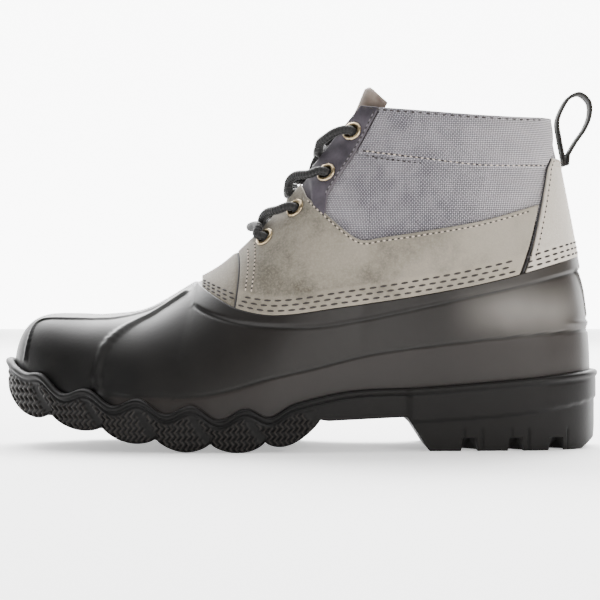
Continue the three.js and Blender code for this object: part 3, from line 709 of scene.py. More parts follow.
def brass(n):
    worn = n.noise(n.place(), 700, 3)
    colour = n.mix(worn, (0.24, 0.17, 0.085), (0.62, 0.5, 0.32))
    n.surface(colour, 0.2 + worn * 0.2, n.bump(worn, 0.0002, 0.3), metallic=1.0)


def webbing(n):
    u, v, _ = n.split(n.unwrapped())
    rib = abs((u * 2.6).sin()) * 0.6 + abs((v * 40).sin()) * 0.4
    # Painted shade in the furrows between the ribs and a painted highlight on their tops.
    colour = n.mix(rib, (0.003, 0.0026, 0.0023), (0.014, 0.012, 0.0105))
    n.surface(colour, 0.8, n.bump(rib, 0.0003, 0.7), Specular_IOR_Level=0.3)


def dark_cord(n):
    n.surface((0.012, 0.011, 0.011), 0.7)


def light_thread(n):
    n.surface((0.46, 0.385, 0.315), 0.8)


def grey_thread(n):
    n.surface((0.13, 0.12, 0.13), 0.8)


def dark_thread(n):
    n.surface((0.02, 0.016, 0.015), 0.8)


def foam(n):
    cell = n.noise(n.place(), 900, 3)
    n.surface(n.mix(cell, (0.22, 0.22, 0.19), (0.36, 0.35, 0.31)), 0.9, n.bump(cell, 0.0005, 0.6))


def fibre_board(n):
    fibre = n.noise(n.place(), 500, 5, 0.7)
    n.surface(n.mix(fibre, (0.34, 0.23, 0.13), (0.52, 0.38, 0.24)), 0.85, n.bump(fibre, 0.0002, 0.4))


def steel(n):
    scratch = n.noise(n.place(), 300, 4)
    n.surface((0.55, 0.56, 0.57), 0.25 + scratch * 0.2, metallic=1.0)


LEATHER, HEEL_LEATHER_PAINTED_LIGHT, CANVAS = material(leather), material(heel_leather_painted_light), material(canvas)
FACING, TONGUE_LEATHER, LINING = material(facing), material(tongue_leather), material(lining_cloth)
RUBBER, SOLE, CORD, BRASS = material(rubber), material(sole_rubber), material(braid), material(brass)
WEBBING, PIPING, LIGHT_THREAD = material(webbing), material(dark_cord), material(light_thread)
GREY_THREAD, DARK_THREAD = material(grey_thread), material(dark_thread)


def finish_inner_parts():
    """Parts that are sealed inside keep their frame meshes and take these finishes."""
    inner = {foam: ("midsole_filler", "collar_foam"), fibre_board: ("insole_board", "heel_counter"),
             steel: ("steel_shank",)}
    for build, names in inner.items():
        look = material(build)
        for name in names:
            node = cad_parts[name]
            node.data.materials.clear()
            node.data.materials.append(look)


finish_inner_parts()

# ------------------------------------------------------------------ rubber shell

RIM_FOOT = [[-56, 76], [-53.1, 72.1], [-42.8, 67], [-25.8, 62.8], [5.2, 61.8], [25.8, 64.4], [51.5, 69.5],
            [85.9, 76.9], [111.7, 82.4], [137.5, 88.9], [149, 92]]
LAYER_TOP = [[-94.5, 27.4], [-77.3, 26.8], [-51.5, 27], [-34.5, 30], [-17, 35.2], [5.2, 40.3], [34.4, 47.4],
             [60.1, 51.1], [85.9, 54.1], [111.7, 56.7], [137.5, 58.7], [149, 59.2]]
# Moulded ribs as seen from the side: x and z, then half width and height.
TOE_CAP_RIB = ([[-99.3, 28.6], [-100.6, 35.2], [-100.2, 44.2], [-96.8, 52.6], [-90.5, 59.2], [-82.6, 64],
                [-75.8, 67.3], [-69.8, 71], [-58, 79]], 1.75, 1.35)
FRONT_RIB = ([[-140.2, 43.3], [-138.5, 55], [-136.1, 62.5], [-131.5, 65], [-122, 65.4], [-111.8, 65.2],
              [-96, 65.4], [-84, 67.5], [-74, 70.8], [-64.4, 75.5]], 1.0, 0.7)
HEEL_RIB = ([[139.6, 90], [142, 86], [144.1, 80], [145.6, 73], [146.2, 66.5]], 1.1, 0.9)
HEEL_LEDGE, LEDGE_HALF = 63.2, 1.5
# A rib's line on the wall is the mean of this many points in a row.
SMOOTHED = 9


def on_wall(line, side):
    """Points on one side of the wall that look from the side like a line of x and z."""
    line = spline([[x, 0, z] for x, z in line], 0.6)[:, [0, 2]]
    l, v = np.meshgrid(side * np.linspace(0.05, 13.95, 500), np.linspace(0, 0.995, 220), indexing="ij")
    seen = form(l, v)[..., [0, 2]].reshape(-1, 2)
    best = np.array([np.argmin(((seen - q) ** 2).sum(-1)) for q in line])
    p = form(l, v).reshape(-1, 3)[best]
    reach = SMOOTHED // 2
    padded = np.concatenate([p[:1]] * reach + [p] + [p[-1:]] * reach)
    return np.stack([np.convolve(padded[:, k], np.ones(SMOOTHED) / SMOOTHED, "valid") for k in range(3)], -1)


def distance(points, line):
    """How far each point is from the nearest point of a line."""
    flat = points.reshape(-1, 3)
    far = np.full(len(flat), 1e9)
    for q in line:
        far = np.minimum(far, ((flat - q) ** 2).sum(-1))
    return np.sqrt(far).reshape(points.shape[:-1])


def shell_relief(l, v, p):
    """Height of the moulded detail, with masks for the lower layer and for the grooves, which take painted
    shade.
    """
    x, z = p[..., 0], p[..., 2]
    rim = (z - curve(RIM_FOOT, x)) * 0.94
    on_rim = smooth(x, -55, -51)
    high = 0.8 * smooth(rim, -0.2, 1.0) * on_rim
    shaded_groove = np.exp(-(((rim + 0.5) / 0.55) ** 2)) * on_rim
    seam = z - curve(LAYER_TOP, x)
    on_seam = smooth(x, -96, -88)
    low = (1 - smooth(seam, -0.5, 0.2)) * on_seam
    high = high + 0.55 * low
    line = np.exp(-(((seam - 0.35) / 0.45) ** 2)) * on_seam
    for shape, half, rise in (TOE_CAP_RIB, FRONT_RIB, HEEL_RIB):
        for side in (-1, 1):
            near = distance(p, on_wall(shape, side))
            high = np.maximum(high, rise * (1 - smooth(near, half * 0.65, half * 1.35)) * (l * side > 0))
    ledge = np.exp(-(((z - HEEL_LEDGE) / LEDGE_HALF) ** 2)) * smooth(x, 130, 139)
    high = high + 1.1 * ledge - 0.6 * shaded_groove - 0.45 * line
    fade = np.where(np.abs(l) >= THROAT_END - 0.2, smooth(1 - v, 0, 0.03), 1)
    return high * fade * (v > 0), low, np.maximum(shaded_groove * 0.8, line * 0.9)


SHELL_WALL = 3.0


def wall_columns(count):
    """Places all round the boot, with one more on each side just before the throat closes."""
    return np.unique(np.concatenate([np.linspace(-TOE, TOE, count), [-NEAR_THROAT_END, NEAR_THROAT_END]]))


def shell():
    """The moulded foot: a wall with relief, a flange under the leather and a flat inner face."""
    columns = wall_columns(449)
    closed = np.abs(columns) >= THROAT_END
    rim = np.where(closed, 0.9, np.minimum(0.97, at_height(columns, SHELL_TOP)))
    flange = np.where(closed, 1, np.maximum(np.minimum(1, at_height(columns, SHELL_TOP, 11)), rim + 0.02))
    share = np.linspace(0, 1, 78)[None, 1:]
    v = np.concatenate([np.tile([-1, -0.7, -0.4, -0.15, 0], (len(columns), 1)), share * rim[:, None],
                        rim[:, None] + np.linspace(0.002, 1, 9)[None] * (flange - rim)[:, None]], 1)
    l = np.broadcast_to(columns[:, None], v.shape)
    p = off(l, v, 0)
    rise, low, shaded_groove = shell_relief(l, v, p)
    under = (v > rim[:, None] + 1e-6) & ~closed[:, None]
    d = np.where(under, CLOTH_OUT, rise)
    outer = off(l, v, d)
    lifted = at_height(columns, FLOOR, 3.2)[:, None]
    inner = off(l, np.where((v >= 0) & (v < lifted), lifted, v), -SHELL_WALL)
    faces = slab_faces(*v.shape, low=False, ends=False,
                       high=lambda i: min(abs(columns[i]), abs(columns[i + 1])) < THROAT_END)
    values = {"low": np.stack([low, low]), "shaded_groove": np.stack([shaded_groove, shaded_groove])}
    mesh_object("shell", stacked(outer, inner), faces, RUBBER, ["rubber_shell"], values=values)


# ------------------------------------------------------------------ outsole

# Lines on the sole as seen from the side, in x and z.
EDGE = [[-151, 45], [-146, 41], [-132, 35.6], [-112, 29.3], [-92, 25.4], [-60, 20.8], [-35, 18.6],
        [-14, 19.4], [4, 25.4], [27, 29.9], [60, 31.3], [103, 34.7], [151, 39.3]]
TREAD = [[-151, 34], [-149, 28], [-144, 21.6], [-139, 17.8], [-131, 15.2], [-104, 9.3], [-84, 4.8],
         [-58, 0.5], [-46, 0], [-24, 0], [-8, 2.5], [10, 11]]
ARCH = [[10, 15.9], [14, 15.2], [53, 16.9], [64, 0], [142, 0], [149.5, 5], [152, 20]]
ARCH_START = 10
HEEL_BAND = [[54, 14.4], [90.2, 16.7], [111.7, 18.8], [137.5, 22.7], [152, 25.9]]
WAVE_PITCH, WAVE_HEIGHT = 26.4, 2.8
TREAD_PITCH, LOBE_DEPTH, FIRST_NOTCH = 26.9, 5, -124.5
HEEL_NOTCHES, NOTCH_WIDTH, NOTCH_HEIGHT, NOTCH_DEPTH = (80, 103, 124), 7.5, 6.5, 17
SLITS = (81.2, 90, 104.6, 113.4, 133.6)


SOLE_COLUMNS = 1345
# Where the underside's rows lie, as shares of the way out from the sole's middle.
UNDERSIDE = (0, 0.25, 0.5, 0.66, 0.8, 0.9, 0.96)
NOTCH_ROWS, WALL_ROWS, NOTCH_LINE = 14, 32, 9.5
FOOT_ROUND = 0.8
# The welt's top, from the edge inwards: inset, rise and how much painted shade it takes.
WELT_TOP = ((0.9, 0.35, 0.4), (2.0, 0.25, 0.4), (2.7, -0.3, 1))
SOLE_GAP = 0.25
RIM_V = 0.001
ZIGZAG_RISE, ZIGZAG_SWING, ZIGZAG_PITCH = 4, 1.9, 2.7


def sole_edge(x):
    """The height of the sole's wavy top edge."""
    fade = smooth(x, -146, -128) * (1 - smooth(x, -22, 4))
    return curve(EDGE, x) + WAVE_HEIGHT * fade * np.cos(2 * np.pi * x / WAVE_PITCH)


def lobe(x):
    """0 between the tread's lobes and 1 in the middle of each."""
    return np.abs(np.sin(np.pi * (x - FIRST_NOTCH) / TREAD_PITCH)) ** 0.6


def tread(x):
    """The height of the sole's underside: lobes in front, then the arch and the heel."""
    lobes = np.maximum(0, curve(TREAD, x)) + LOBE_DEPTH * smooth(x, -136, -126) * (1 - lobe(x))
    return np.where(x <= ARCH_START, lobes, np.interp(x, *np.transpose(ARCH)))


def notched(x, deep):
    """1 inside the heel's side notches, at a depth in from the sole's edge."""
    inside = sum((x > s) & (x < s + NOTCH_WIDTH) for s in HEEL_NOTCHES)
    return inside * (deep < NOTCH_DEPTH)


def sole_relief(x, z, edge, foot):
    """How far the side wall stands out, where it takes painted shade and where a zigzag rib's top takes a
    painted highlight.
    """
    down = edge - z
    lip = 1.25 * np.sqrt(np.clip(1 - ((down - 1.5) / 1.5) ** 2, 0, 1))
    under_lip = np.exp(-(((down - 3.5) / 0.5) ** 2))
    lobe_share = (1 - smooth(x, 2, 12)) * smooth(down, 4.6, 5.8) * smooth(z - foot, 0.3, 1.4)
    swing = np.abs((z / ZIGZAG_RISE + 0.5) % 1 - 0.5) * 2
    zigzag = np.abs(((x + ZIGZAG_SWING * swing) / ZIGZAG_PITCH) % 1 - 0.5) * 2
    slant = (x - FIRST_NOTCH + 0.55 * (z - foot)) / TREAD_PITCH
    valley = 1 - smooth(np.abs(np.sin(np.pi * slant)), 0.1, 0.34)
    ribs = lobe_share * (1 - valley)
    cut_in = 1 - smooth(zigzag, 0.2, 0.75)
    out = lip * (1 - smooth(x, 52, 60) * 0.35) - 0.35 * under_lip
    out = out - ribs * cut_in - 0.9 * lobe_share * valley
    out = out + (1 - smooth(x, 2, 12)) * 0.7 * smooth(down, 4, 6.5) * lobe(x)
    band = smooth(z - curve(HEEL_BAND, x), -0.3, 0.3) * smooth(x, 52, 56)
    step = np.exp(-(((z - curve(HEEL_BAND, x) + 0.7) / 0.6) ** 2)) * smooth(x, 52, 56)
    out = out + 0.9 * band
    slit = sum(np.exp(-(((x - s) / 0.35) ** 2)) for s in SLITS) * (1 - smooth(z, 9.5, 12)) * smooth(x, 70, 72)
    # Painted shade in the recesses: under the lip, in the zigzag cuts, in the slits and at the heel band's
    # step.
    dark = np.clip(under_lip * 0.8 + ribs * cut_in * 0.9 + slit + step * 0.7, 0, 1)
    return out - 0.8 * slit, dark, ribs * (1 - cut_in)


def underside(outline, middle):
    """Rings of points from the sole's middle out to its edge, each with its painted shade and rib highlight.
    """
    inward = outline - middle
    reach = np.linalg.norm(inward[:, :2], axis=-1)
    for share in UNDERSIDE:
        q = middle + inward * share
        q[:, 2] = tread(q[:, 0]) + NOTCH_HEIGHT * notched(q[:, 0], (1 - share) * reach)
        yield q, 0, 0


def side_wall(outline, flat, edge):
    """Rings from the sole's foot up to its edge; the notches have rows of their own."""
    x = outline[:, 0]
    foot = tread(x)
    low = foot + NOTCH_HEIGHT * notched(x, 0)
    split = np.maximum(np.where(x > ARCH_START, NOTCH_LINE, 0), foot + 1.5)
    heights = [mixed(low, split, k / NOTCH_ROWS) for k in range(NOTCH_ROWS)]
    heights += [mixed(split, edge, k / (WALL_ROWS - 1)) for k in range(WALL_ROWS)]
    for z in heights:
        out, dark, rib = sole_relief(x, z, edge, foot)
        near_foot = np.clip(z - foot, 0, FOOT_ROUND)
        out = out - FOOT_ROUND + np.sqrt(np.maximum(0, FOOT_ROUND**2 - (FOOT_ROUND - near_foot) ** 2))
        q = outline + flat * out[:, None]
        q[:, 2] = z
        yield q, dark, rib


def welt_and_bed(columns, outline, flat, middle, edge):
    """Rings over the welt, down beside the shell and in under it to the middle; the gap between sole and
    shell takes painted shade.
    """
    for inset, rise, dark in WELT_TOP:
        q = outline - flat * inset
        q[:, 2] = edge + rise
        yield q, dark, 0
    beside = crossing(columns, lambda p: p[..., 2] - edge + 1.2)
    for share in (1.0, 0.5):
        yield off(columns, np.maximum(beside * share, 2 * RIM_V), SOLE_GAP + 0.05), 1, 0
    for share in (1, 0.5, 0):
        q = middle + (form(columns, 0.0) - middle) * share
        q[:, 2] -= SOLE_GAP
        if share == 1:
            q = q + flat * SOLE_GAP
        yield q, 1, 0


def outsole():
    columns = np.linspace(-TOE, TOE, SOLE_COLUMNS)
    flat = unit(normal(columns, RIM_V) * [1, 1, 0])
    outline = off(columns, RIM_V, 0) + flat * WELT
    middle = form(columns, -1.0)
    edge = sole_edge(outline[:, 0])
    rings = [*underside(outline, middle), *side_wall(outline, flat, edge),
             *welt_and_bed(columns, outline, flat, middle, edge)]
    grid = np.stack([ring[0] for ring in rings], 1)
    n, m = grid.shape[:2]
    faces = [(i * m + j, (i + 1) * m + j, (i + 1) * m + j + 1, i * m + j + 1)
             for i in range(n - 1) for j in range(m - 1)]
    dark, rib = (np.stack([np.broadcast_to(ring[k], n) for ring in rings], 1) for k in (1, 2))
    mesh_object("outsole", grid.reshape(-1, 3), faces, SOLE, ["outsole"],
                values={"shaded_groove": dark, "rib": rib})


# ------------------------------------------------------------------ upper

SIDES = ((-1, "lateral"), (1, "medial"))
SEAM_GAP = 0.05
QUARTER_FRONT = 7.85
LEATHER_THROAT = 6.62
FACING_BACK, FACING_FOOT = 4.68, 6.56
STAY_HEIGHT = 146.5
# Each eyelet from the foot of the throat up: its place round the boot and its distance from the edge.
EYELETS = [[7.4, 10], [6.82, 11.5], [6.09, 13.6], [5.36, 7.5]]
HOLE_R, HOLE_SIDES, HOLE_ENDS = 3.3, 32, (-6, 4)


def shell_top(l):
    return at_height(l, SHELL_TOP)


def leather_top(l):
    return np.where(np.abs(l) >= LEATHER_THROAT, 1, at_height(l, LEATHER_TOP))


def on_stay_edge(side, shift, b, low, high):
    """The place on the backstay's edge, moved by shift, a share b of the way from low to high."""
    l = np.full(np.shape(b), 2.0 * side)
    for _ in range(6):
        z = form(l, mixed(low(l), high(l), b))[..., 2]
        l = side * (curve(STAY_EDGE, z) + shift)
    return l


def facing_rear(l):
    return crossing(l, lambda p: curve(FACING_REAR, p[..., 2]) - p[..., 0])


def stay_top(l):
    return crossing(l, lambda p: p[..., 2] - STAY_HEIGHT)


def band_foot(l):
    return at_height(l, BAND_FOOT)


def band_top(l):
    return np.where(np.abs(l) > FACING_BACK, np.minimum(1, facing_rear(l) - 0.01), 1)


def eyelet_turn(side, n):
    """Centre, outward axis and two cross axes of an eyelet."""
    s, back = EYELETS[n]
    l, v = side * s, float(setback(side * s, back))
    out = normal(l, v)
    down = form(l + 0.05 * side, 1) - form(l - 0.05 * side, 1)
    down = unit(down - out * out.dot(down))
    return form(l, v), out, np.cross(down, out) * -side, down


def punch(piece, side, numbers):
    """Cuts the eyelets' holes through a piece."""
    bm = bmesh.new()
    for n in numbers:
        centre, out, across, down = eyelet_turn(side, n)
        turns = np.linspace(0, 2 * np.pi, HOLE_SIDES + 1)[:-1]
        ring = [(across * math.cos(t) + down * math.sin(t)) * HOLE_R for t in turns]
        ends = [[bm.verts.new((centre + r + out * h) * MM) for r in ring] for h in HOLE_ENDS]
        for k in range(HOLE_SIDES):
            j = (k + 1) % HOLE_SIDES
            bm.faces.new((ends[0][k], ends[0][j], ends[1][j], ends[1][k]))
        bm.faces.new(ends[0])
        bm.faces.new(ends[1])
    cut_away(piece, bm)


def quarter(side, name):
    """The leather panel between the throat and the backstay, with two eyelet holes."""
    def place(a, b):
        rear = on_stay_edge(side, SEAM_GAP, b, shell_top, leather_top)
        l = mixed(side * QUARTER_FRONT, rear, a)
        return l, mixed(shell_top(l) - 0.001, leather_top(l), b)
    piece = patch(f"quarter_{name}", place, 190, 60, LEATHER_IN, LEATHER_OUT, LEATHER,
                  [f"quarter_{name}"], 0.8, edge=0.008)
    punch(piece, side, (0, 1))


def canvas_panel(side, name):
    """The canvas shaft, whose foot runs down behind the leather."""
    def place(a, b):
        l = side * mixed(6.62, 0.02, a)
        return l, mixed(np.minimum(0.97, at_height(l, LEATHER_TOP, -8)), 0.988, b)

    def puff(l, v, p):
        return 0.5 * smooth(v, 0.55, 0.75) * (1 - smooth(v, 0.8, 0.95)) * smooth(-np.abs(l), -4.6, -3.4)
    piece = patch(f"canvas_{name}", place, 170, 50, CLOTH_IN, CLOTH_OUT, CANVAS,
                  [f"canvas_{name}"], 0.4, puff)
    punch(piece, side, (2, 3))


def facing_strip(side, name):
    """The dark strip for the top two eyelets; its foot tucks in behind the leather."""
    def place(a, b):
        l = side * mixed(FACING_FOOT + 0.2, FACING_BACK, a)
        low = facing_rear(l)
        behind_leather = np.maximum(low, np.minimum(at_height(l, LEATHER_TOP), 0.93) - 0.02)
        low = np.where(np.abs(l) > 6, behind_leather, low)
        return l, mixed(np.minimum(low, 0.985), 1, b)

    def tuck(l, v, p):
        return -1.5 * smooth(np.abs(l), 6.42, 6.54)
    piece = patch(f"facing_{name}", place, 90, 26, LEATHER_IN - 1.5, LEATHER_OUT, FACING,
                  [f"facing_{name}"], 0.7, tuck)
    punch(piece, side, (2, 3))


def collar_band(side, name):
    """The padded canvas band round the top."""
    def place(a, b):
        rear = on_stay_edge(side, SEAM_GAP, b, band_foot, band_top)
        l = mixed(5.3 * side, rear, a)
        top = band_top(l)
        return l, mixed(np.minimum(band_foot(l), top - 0.01), top, b)

    def puff(l, v, p):
        share = (p[..., 2] - curve(BAND_FOOT, p[..., 0])) / 24
        return 0.9 * np.clip(4 * share * (1 - share), 0, 1) * smooth(-np.abs(l), -4.6, -3.8)
    patch(f"collar_band_{name}", place, 150, 26, LEATHER_IN, 0.3, CANVAS,
          [f"collar_band_{name}"], 0.7, puff, edge=0.008)


def backstay():
    def place(a, b):
        left, right = (on_stay_edge(side, -SEAM_GAP, b, shell_top, stay_top) for side in (-1, 1))
        l = mixed(left, right, a)
        return l, mixed(shell_top(l) - 0.001, stay_top(l), b)
    patch("backstay", place, 80, 60, LEATHER_IN, LEATHER_OUT, HEEL_LEATHER_PAINTED_LIGHT, ["backstay"], 0.8)


def through_gap(s, foot, top, d, crown, wall=8, gap=14):
    """Points across the throat at place s, from v `foot` on one side over the gap to the other."""
    def rise(side):
        v = np.linspace(foot(side * s), top, wall)
        return off(np.full(wall, side * s), v, d)
    lateral, medial = rise(-1), rise(1)[::-1]
    p, q = lateral[-1], medial[0]
    reach = np.linalg.norm(q - p) * crown
    a, b = unit(p - lateral[-2]) * reach, unit(q - medial[1]) * reach
    t = np.linspace(0, 1, gap + 2)[1:-1, None]
    u = 1 - t
    bridge = u**3 * p + 3 * u * u * t * (p + a) + 3 * u * t * t * (q + b) + t**3 * q
    return np.concatenate([lateral, bridge, medial])


TONGUE_OUT, TONGUE_IN = -9.0, -12.8
TONGUE_PUSH = [-5.6, 0, 2.2]
# How far the tongue reaches under each side of the throat, by the place round the boot.
TONGUE_REACH = [[COLLAR_CORNER, 9], [5.6, 11], [6.4, 26], [8, 26], [9, 8]]


def tongue_face(d):
    """Rows of points up the tongue, d off the wall, with the free tip at the top."""
    rows_made = []
    for s in np.linspace(8.95, COLLAR_CORNER, 62):
        reach = float(curve(TONGUE_REACH, s))
        row = through_gap(s, lambda l: float(setback(l, reach)), 0.999, d, 0.15)
        out = np.abs(row[:, 1] - row[len(row) // 2, 1])
        out = out / out.max()
        push = (1 - smooth(s, COLLAR_CORNER, 5.7)) * (1 - out**2)
        rows_made.append(row + push[:, None] * TONGUE_PUSH)
    # The tip follows the curve of the ankle: highest in front, lower and further back at its sides.
    top = rows_made[-1]
    side = np.sign(top[:, 1] - top[len(top) // 2, 1])
    deep = (TONGUE_OUT - d) * (1 - 0.3 * out)
    tip = np.stack([33.6 + 11 * out**1.7 + deep * (1 - out), side * (15.5 * out**0.85 - deep * out),
                    184.2 - 9.2 * out**1.8], -1)
    for t in np.linspace(0, 1, 15)[1:]:
        rows_made.append(mixed(top, tip, t))
    return np.stack(rows_made)


def sheet_between(name, outer, inner, look, nodes, radius):
    """A closed sheet between two grids of points, with rounded edges."""
    middle = (outer + inner) / 2
    drop, near = rounded(middle, radius)
    way = unit(outer - inner)
    outer = outer - way * drop[..., None]
    inner = inner + way * (drop * 0.6)[..., None]
    along = np.stack([travelled(row) for row in middle.swapaxes(0, 1)], 1)
    across = np.stack([travelled(row) for row in middle])
    edges = 1 - near / radius
    return mesh_object(name, stacked(outer, inner), slab_faces(*middle.shape[:2]), look, nodes,
                       uv=doubled(np.stack([along, across], -1)), values={"edge": np.stack([edges, edges])})


def tongue():
    made = sheet_between("tongue", tongue_face(TONGUE_OUT), tongue_face(TONGUE_IN), TONGUE_LEATHER,
                         ["tongue"], 1.6)


def gore():
    """The leather across the foot of the throat; its edges dip behind the quarters."""
    def face(d):
        def row(s):
            dip = 2.1 * (1 - float(smooth(s, QUARTER_FRONT - 0.08, QUARTER_FRONT + 0.1)))
            return through_gap(s, lambda l: float(at_height(l, SHELL_TOP)) - 0.001, 0.999, d - dip, 0.1, 26)
        return np.stack([row(s) for s in np.linspace(QUARTER_FRONT - 0.25, 8.8, 44)])
    outer, inner = face(LEATHER_OUT - 0.1), face(LEATHER_IN)
    sheet_between("vamp_gore", outer, inner, LEATHER, ["vamp_gore"], 0.5)


def piping():
    """The dark piping along the backstay's edges, and a dark line of painted shadow along the quarters' front
    edges.
    """
    for side, name in SIDES:
        b = np.linspace(0.004, 1, 60)
        l = on_stay_edge(side, 0, b, shell_top, stay_top)
        v = mixed(shell_top(l), stay_top(l), b)
        points, faces, uv = tube_mesh(off(l, v, 0.4), 0.45, 10)
        mesh_object(f"piping_{name}", points, faces, PIPING, [f"backstay_piping_{name}"], uv=uv)
        # A dark cord laid where the quarter's front edge casts its shadow on the gore: painted shadow.
        v = np.linspace(float(shell_top(QUARTER_FRONT * side)), 0.985, 60)
        points, faces, uv = tube_mesh(off(side * (QUARTER_FRONT + 0.015), v, 0.45), 0.5, 8)
        mesh_object(f"front_edge_{name}", points, faces, PIPING, uv=uv)


LINING_OUT, LINING_IN, LINING_BACK = -5.6, -7.2, 31


def lining():
    """The bootie, open along the throat and round the collar."""
    l = wall_columns(225)
    s = np.abs(l)
    back = setback(l, LINING_BACK)
    corner = float(setback(COLLAR_CORNER, LINING_BACK))
    top = np.where(s >= THROAT_END, 1, np.where(s >= 8, mixed(back, 1, s - 8), np.where(
        s >= COLLAR_CORNER, back, np.where(s > 4, mixed(0.985, corner, s - 4), 0.985))))
    foot = at_height(l, FLOOR, 9.5)
    share = np.linspace(0, 1, 40)[None]
    v = foot[:, None] + (top - foot)[:, None] * share
    ll = np.broadcast_to(l[:, None], v.shape)
    outer, inner = off(ll, v, LINING_OUT), off(ll, v, LINING_IN)
    faces = slab_faces(*v.shape, ends=False, high=lambda i: min(abs(l[i]), abs(l[i + 1])) < THROAT_END)
    mesh_object("lining", stacked(outer, inner), faces, LINING, ["lining"],
                uv=doubled(cloth_uv(ll, outer)))


def footbed():
    """The insole, with a raised rim."""
    l = np.linspace(-TOE, TOE, 225)
    edge = 10 / np.linalg.norm(form(l, 0.0) - form(l, -1.0), axis=-1)
    share = np.linspace(0, 1, 18)[None]
    v = -1 + (1 - edge[:, None]) * share
    ll = np.broadcast_to(l[:, None], v.shape)
    low, high = off(ll, v, 0), off(ll, v, 0)
    low[..., 2] += 8.4
    high[..., 2] += 11.4 + 2.2 * smooth(share, 0.55, 0.93) - 1.6 * smooth(share, 0.94, 1)
    faces = slab_faces(*v.shape, low=False, ends=False)
    mesh_object("footbed", stacked(low, high), faces, LINING, ["footbed"], uv=doubled(low[..., :2]))


# ------------------------------------------------------------------ eyelets, lace and loop


# An eyelet's section, from the inner barrel's foot round to its rolled rim: radius and height.
EYELET_SECTION = [[3.0, -4], [4.4, -4], [4.4, -3.6], [3.4, -3.5], [3.5, 1.0], [4.75, 1.0], [5.05, 1.25],
                  [5.0, 1.6], [4.6, 2.05], [4.0, 2.25], [3.5, 2.15], [3.15, 1.8], [3.0, 1.2]]
EYELET_SIDES, BEAD = 44, 0.12


def eyelets():
    """All eight eyelets, turned from one section, with a beaded rim."""
    points, faces = [], []
    m = len(EYELET_SECTION)
    for side, _ in SIDES:
        for n in range(len(EYELETS)):
            centre, out, across, down = eyelet_turn(side, n)
            start = len(points)
            for k in range(EYELET_SIDES):
                t = 2 * math.pi * k / EYELET_SIDES
                way = across * math.cos(t) + down * math.sin(t)
                for r, h in EYELET_SECTION:
                    on_rim = 1.2 < h < 1.8 and r > 4 and k % 4 < 2
                    points.append(centre + way * (r + BEAD * on_rim) + out * h)
            for k in range(EYELET_SIDES):
                a, b = start + k * m, start + (k + 1) % EYELET_SIDES * m
                faces += [(a + j, b + j, b + (j + 1) % m, a + (j + 1) % m) for j in range(m)]
    nodes = [f"eyelet_{name}_{n + 1}" for _, name in SIDES for n in range(len(EYELETS))]
    mesh_object("eyelets", points, faces, BRASS, nodes)


def middle_front(s, d):
    p = (form(-s, 1.0) + form(s, 1.0)) / 2
    slope = form(s - 0.05, 1.0) - form(s + 0.05, 1.0)
    slope = unit(slope * [1, 0, 1])
    return p + np.array([-slope[2], 0, slope[0]]) * d


# The lace's steps through an eyelet: out from the wall, towards the gap and down along the throat.
THROUGH = [[4.9, 5.0, 6.2], [4.1, 1.9, 1.8], [2.2, 0.2, 0.1], [0.2, 0, 0], [-2.6, 0, 0], [-4.7, 0.2, 0]]


def lace_half(side, lift):
    """Half of the lace from the lowest eyelet up, crossing over the gap between eyelets."""
    points = []
    for n in range(len(EYELETS)):
        centre, out, across, down = eyelet_turn(side, n)
        gap = (form(side * EYELETS[n][0], 1.0) - centre).dot(across)
        if n == 0:
            steps = [[4.4, gap * 0.6, -1.2]] + THROUGH[1:]
        else:
            steps = [[-1.6, gap + 2.2, 18.5], [1.6, gap + 3.2, 15], [4.2, gap + 0.4, 10.8]] + THROUGH
        steps += [[-6.4, -2.4, 0]] if n == 3 else [[-6.5, 2.8, 0.2], [-6.4, gap + 2, 1]]
        points += [centre + out * o + across * e + down * w for o, e, w in steps]
        if n < 3:
            points.append(middle_front(mixed(EYELETS[n][0], EYELETS[n + 1][0], 0.16), lift))
            side = -side
    return points


# The lace's two free ends, from the top eyelets down inside the boot, in metres.
TAILS = {
    "lateral": [
        [0.0312, -0.0129, 0.1555], [0.0336, -0.0136, 0.1528], [0.0366, -0.014, 0.149],
        [0.04, -0.0143, 0.1435], [0.043, -0.0148, 0.136], [0.0452, -0.0156, 0.126],
        [0.0466, -0.0166, 0.112], [0.0474, -0.0176, 0.094], [0.048, -0.0184, 0.075],
        [0.0488, -0.019, 0.057], [0.0515, -0.0194, 0.0445], [0.058, -0.0198, 0.038],
        [0.067, -0.02, 0.0379], [0.08, -0.0202, 0.0392], [0.094, -0.0198, 0.0404],
        [0.107, -0.0172, 0.0412], [0.117, -0.01, 0.0416], [0.1205, -0.001, 0.0418],
    ],
    "medial": [
        [0.031, 0.0129, 0.1552], [0.0334, 0.0134, 0.1525], [0.0364, 0.0132, 0.1488],
        [0.0396, 0.013, 0.1435], [0.0422, 0.0134, 0.136], [0.044, 0.014, 0.126],
        [0.0452, 0.015, 0.112], [0.0458, 0.016, 0.094], [0.046, 0.0168, 0.075],
        [0.0452, 0.0174, 0.057], [0.0424, 0.0178, 0.044], [0.036, 0.018, 0.037],
        [0.027, 0.018, 0.0344], [0.013, 0.0186, 0.0322], [-0.002, 0.02, 0.03],
        [-0.018, 0.022, 0.028], [-0.036, 0.0238, 0.0265],
    ],
}
LACE_R, LACED_R = 2.0, 2.25
AGLET_LENGTH, AGLET_R, AGLET_GAP = 16, 1.7, 0.3


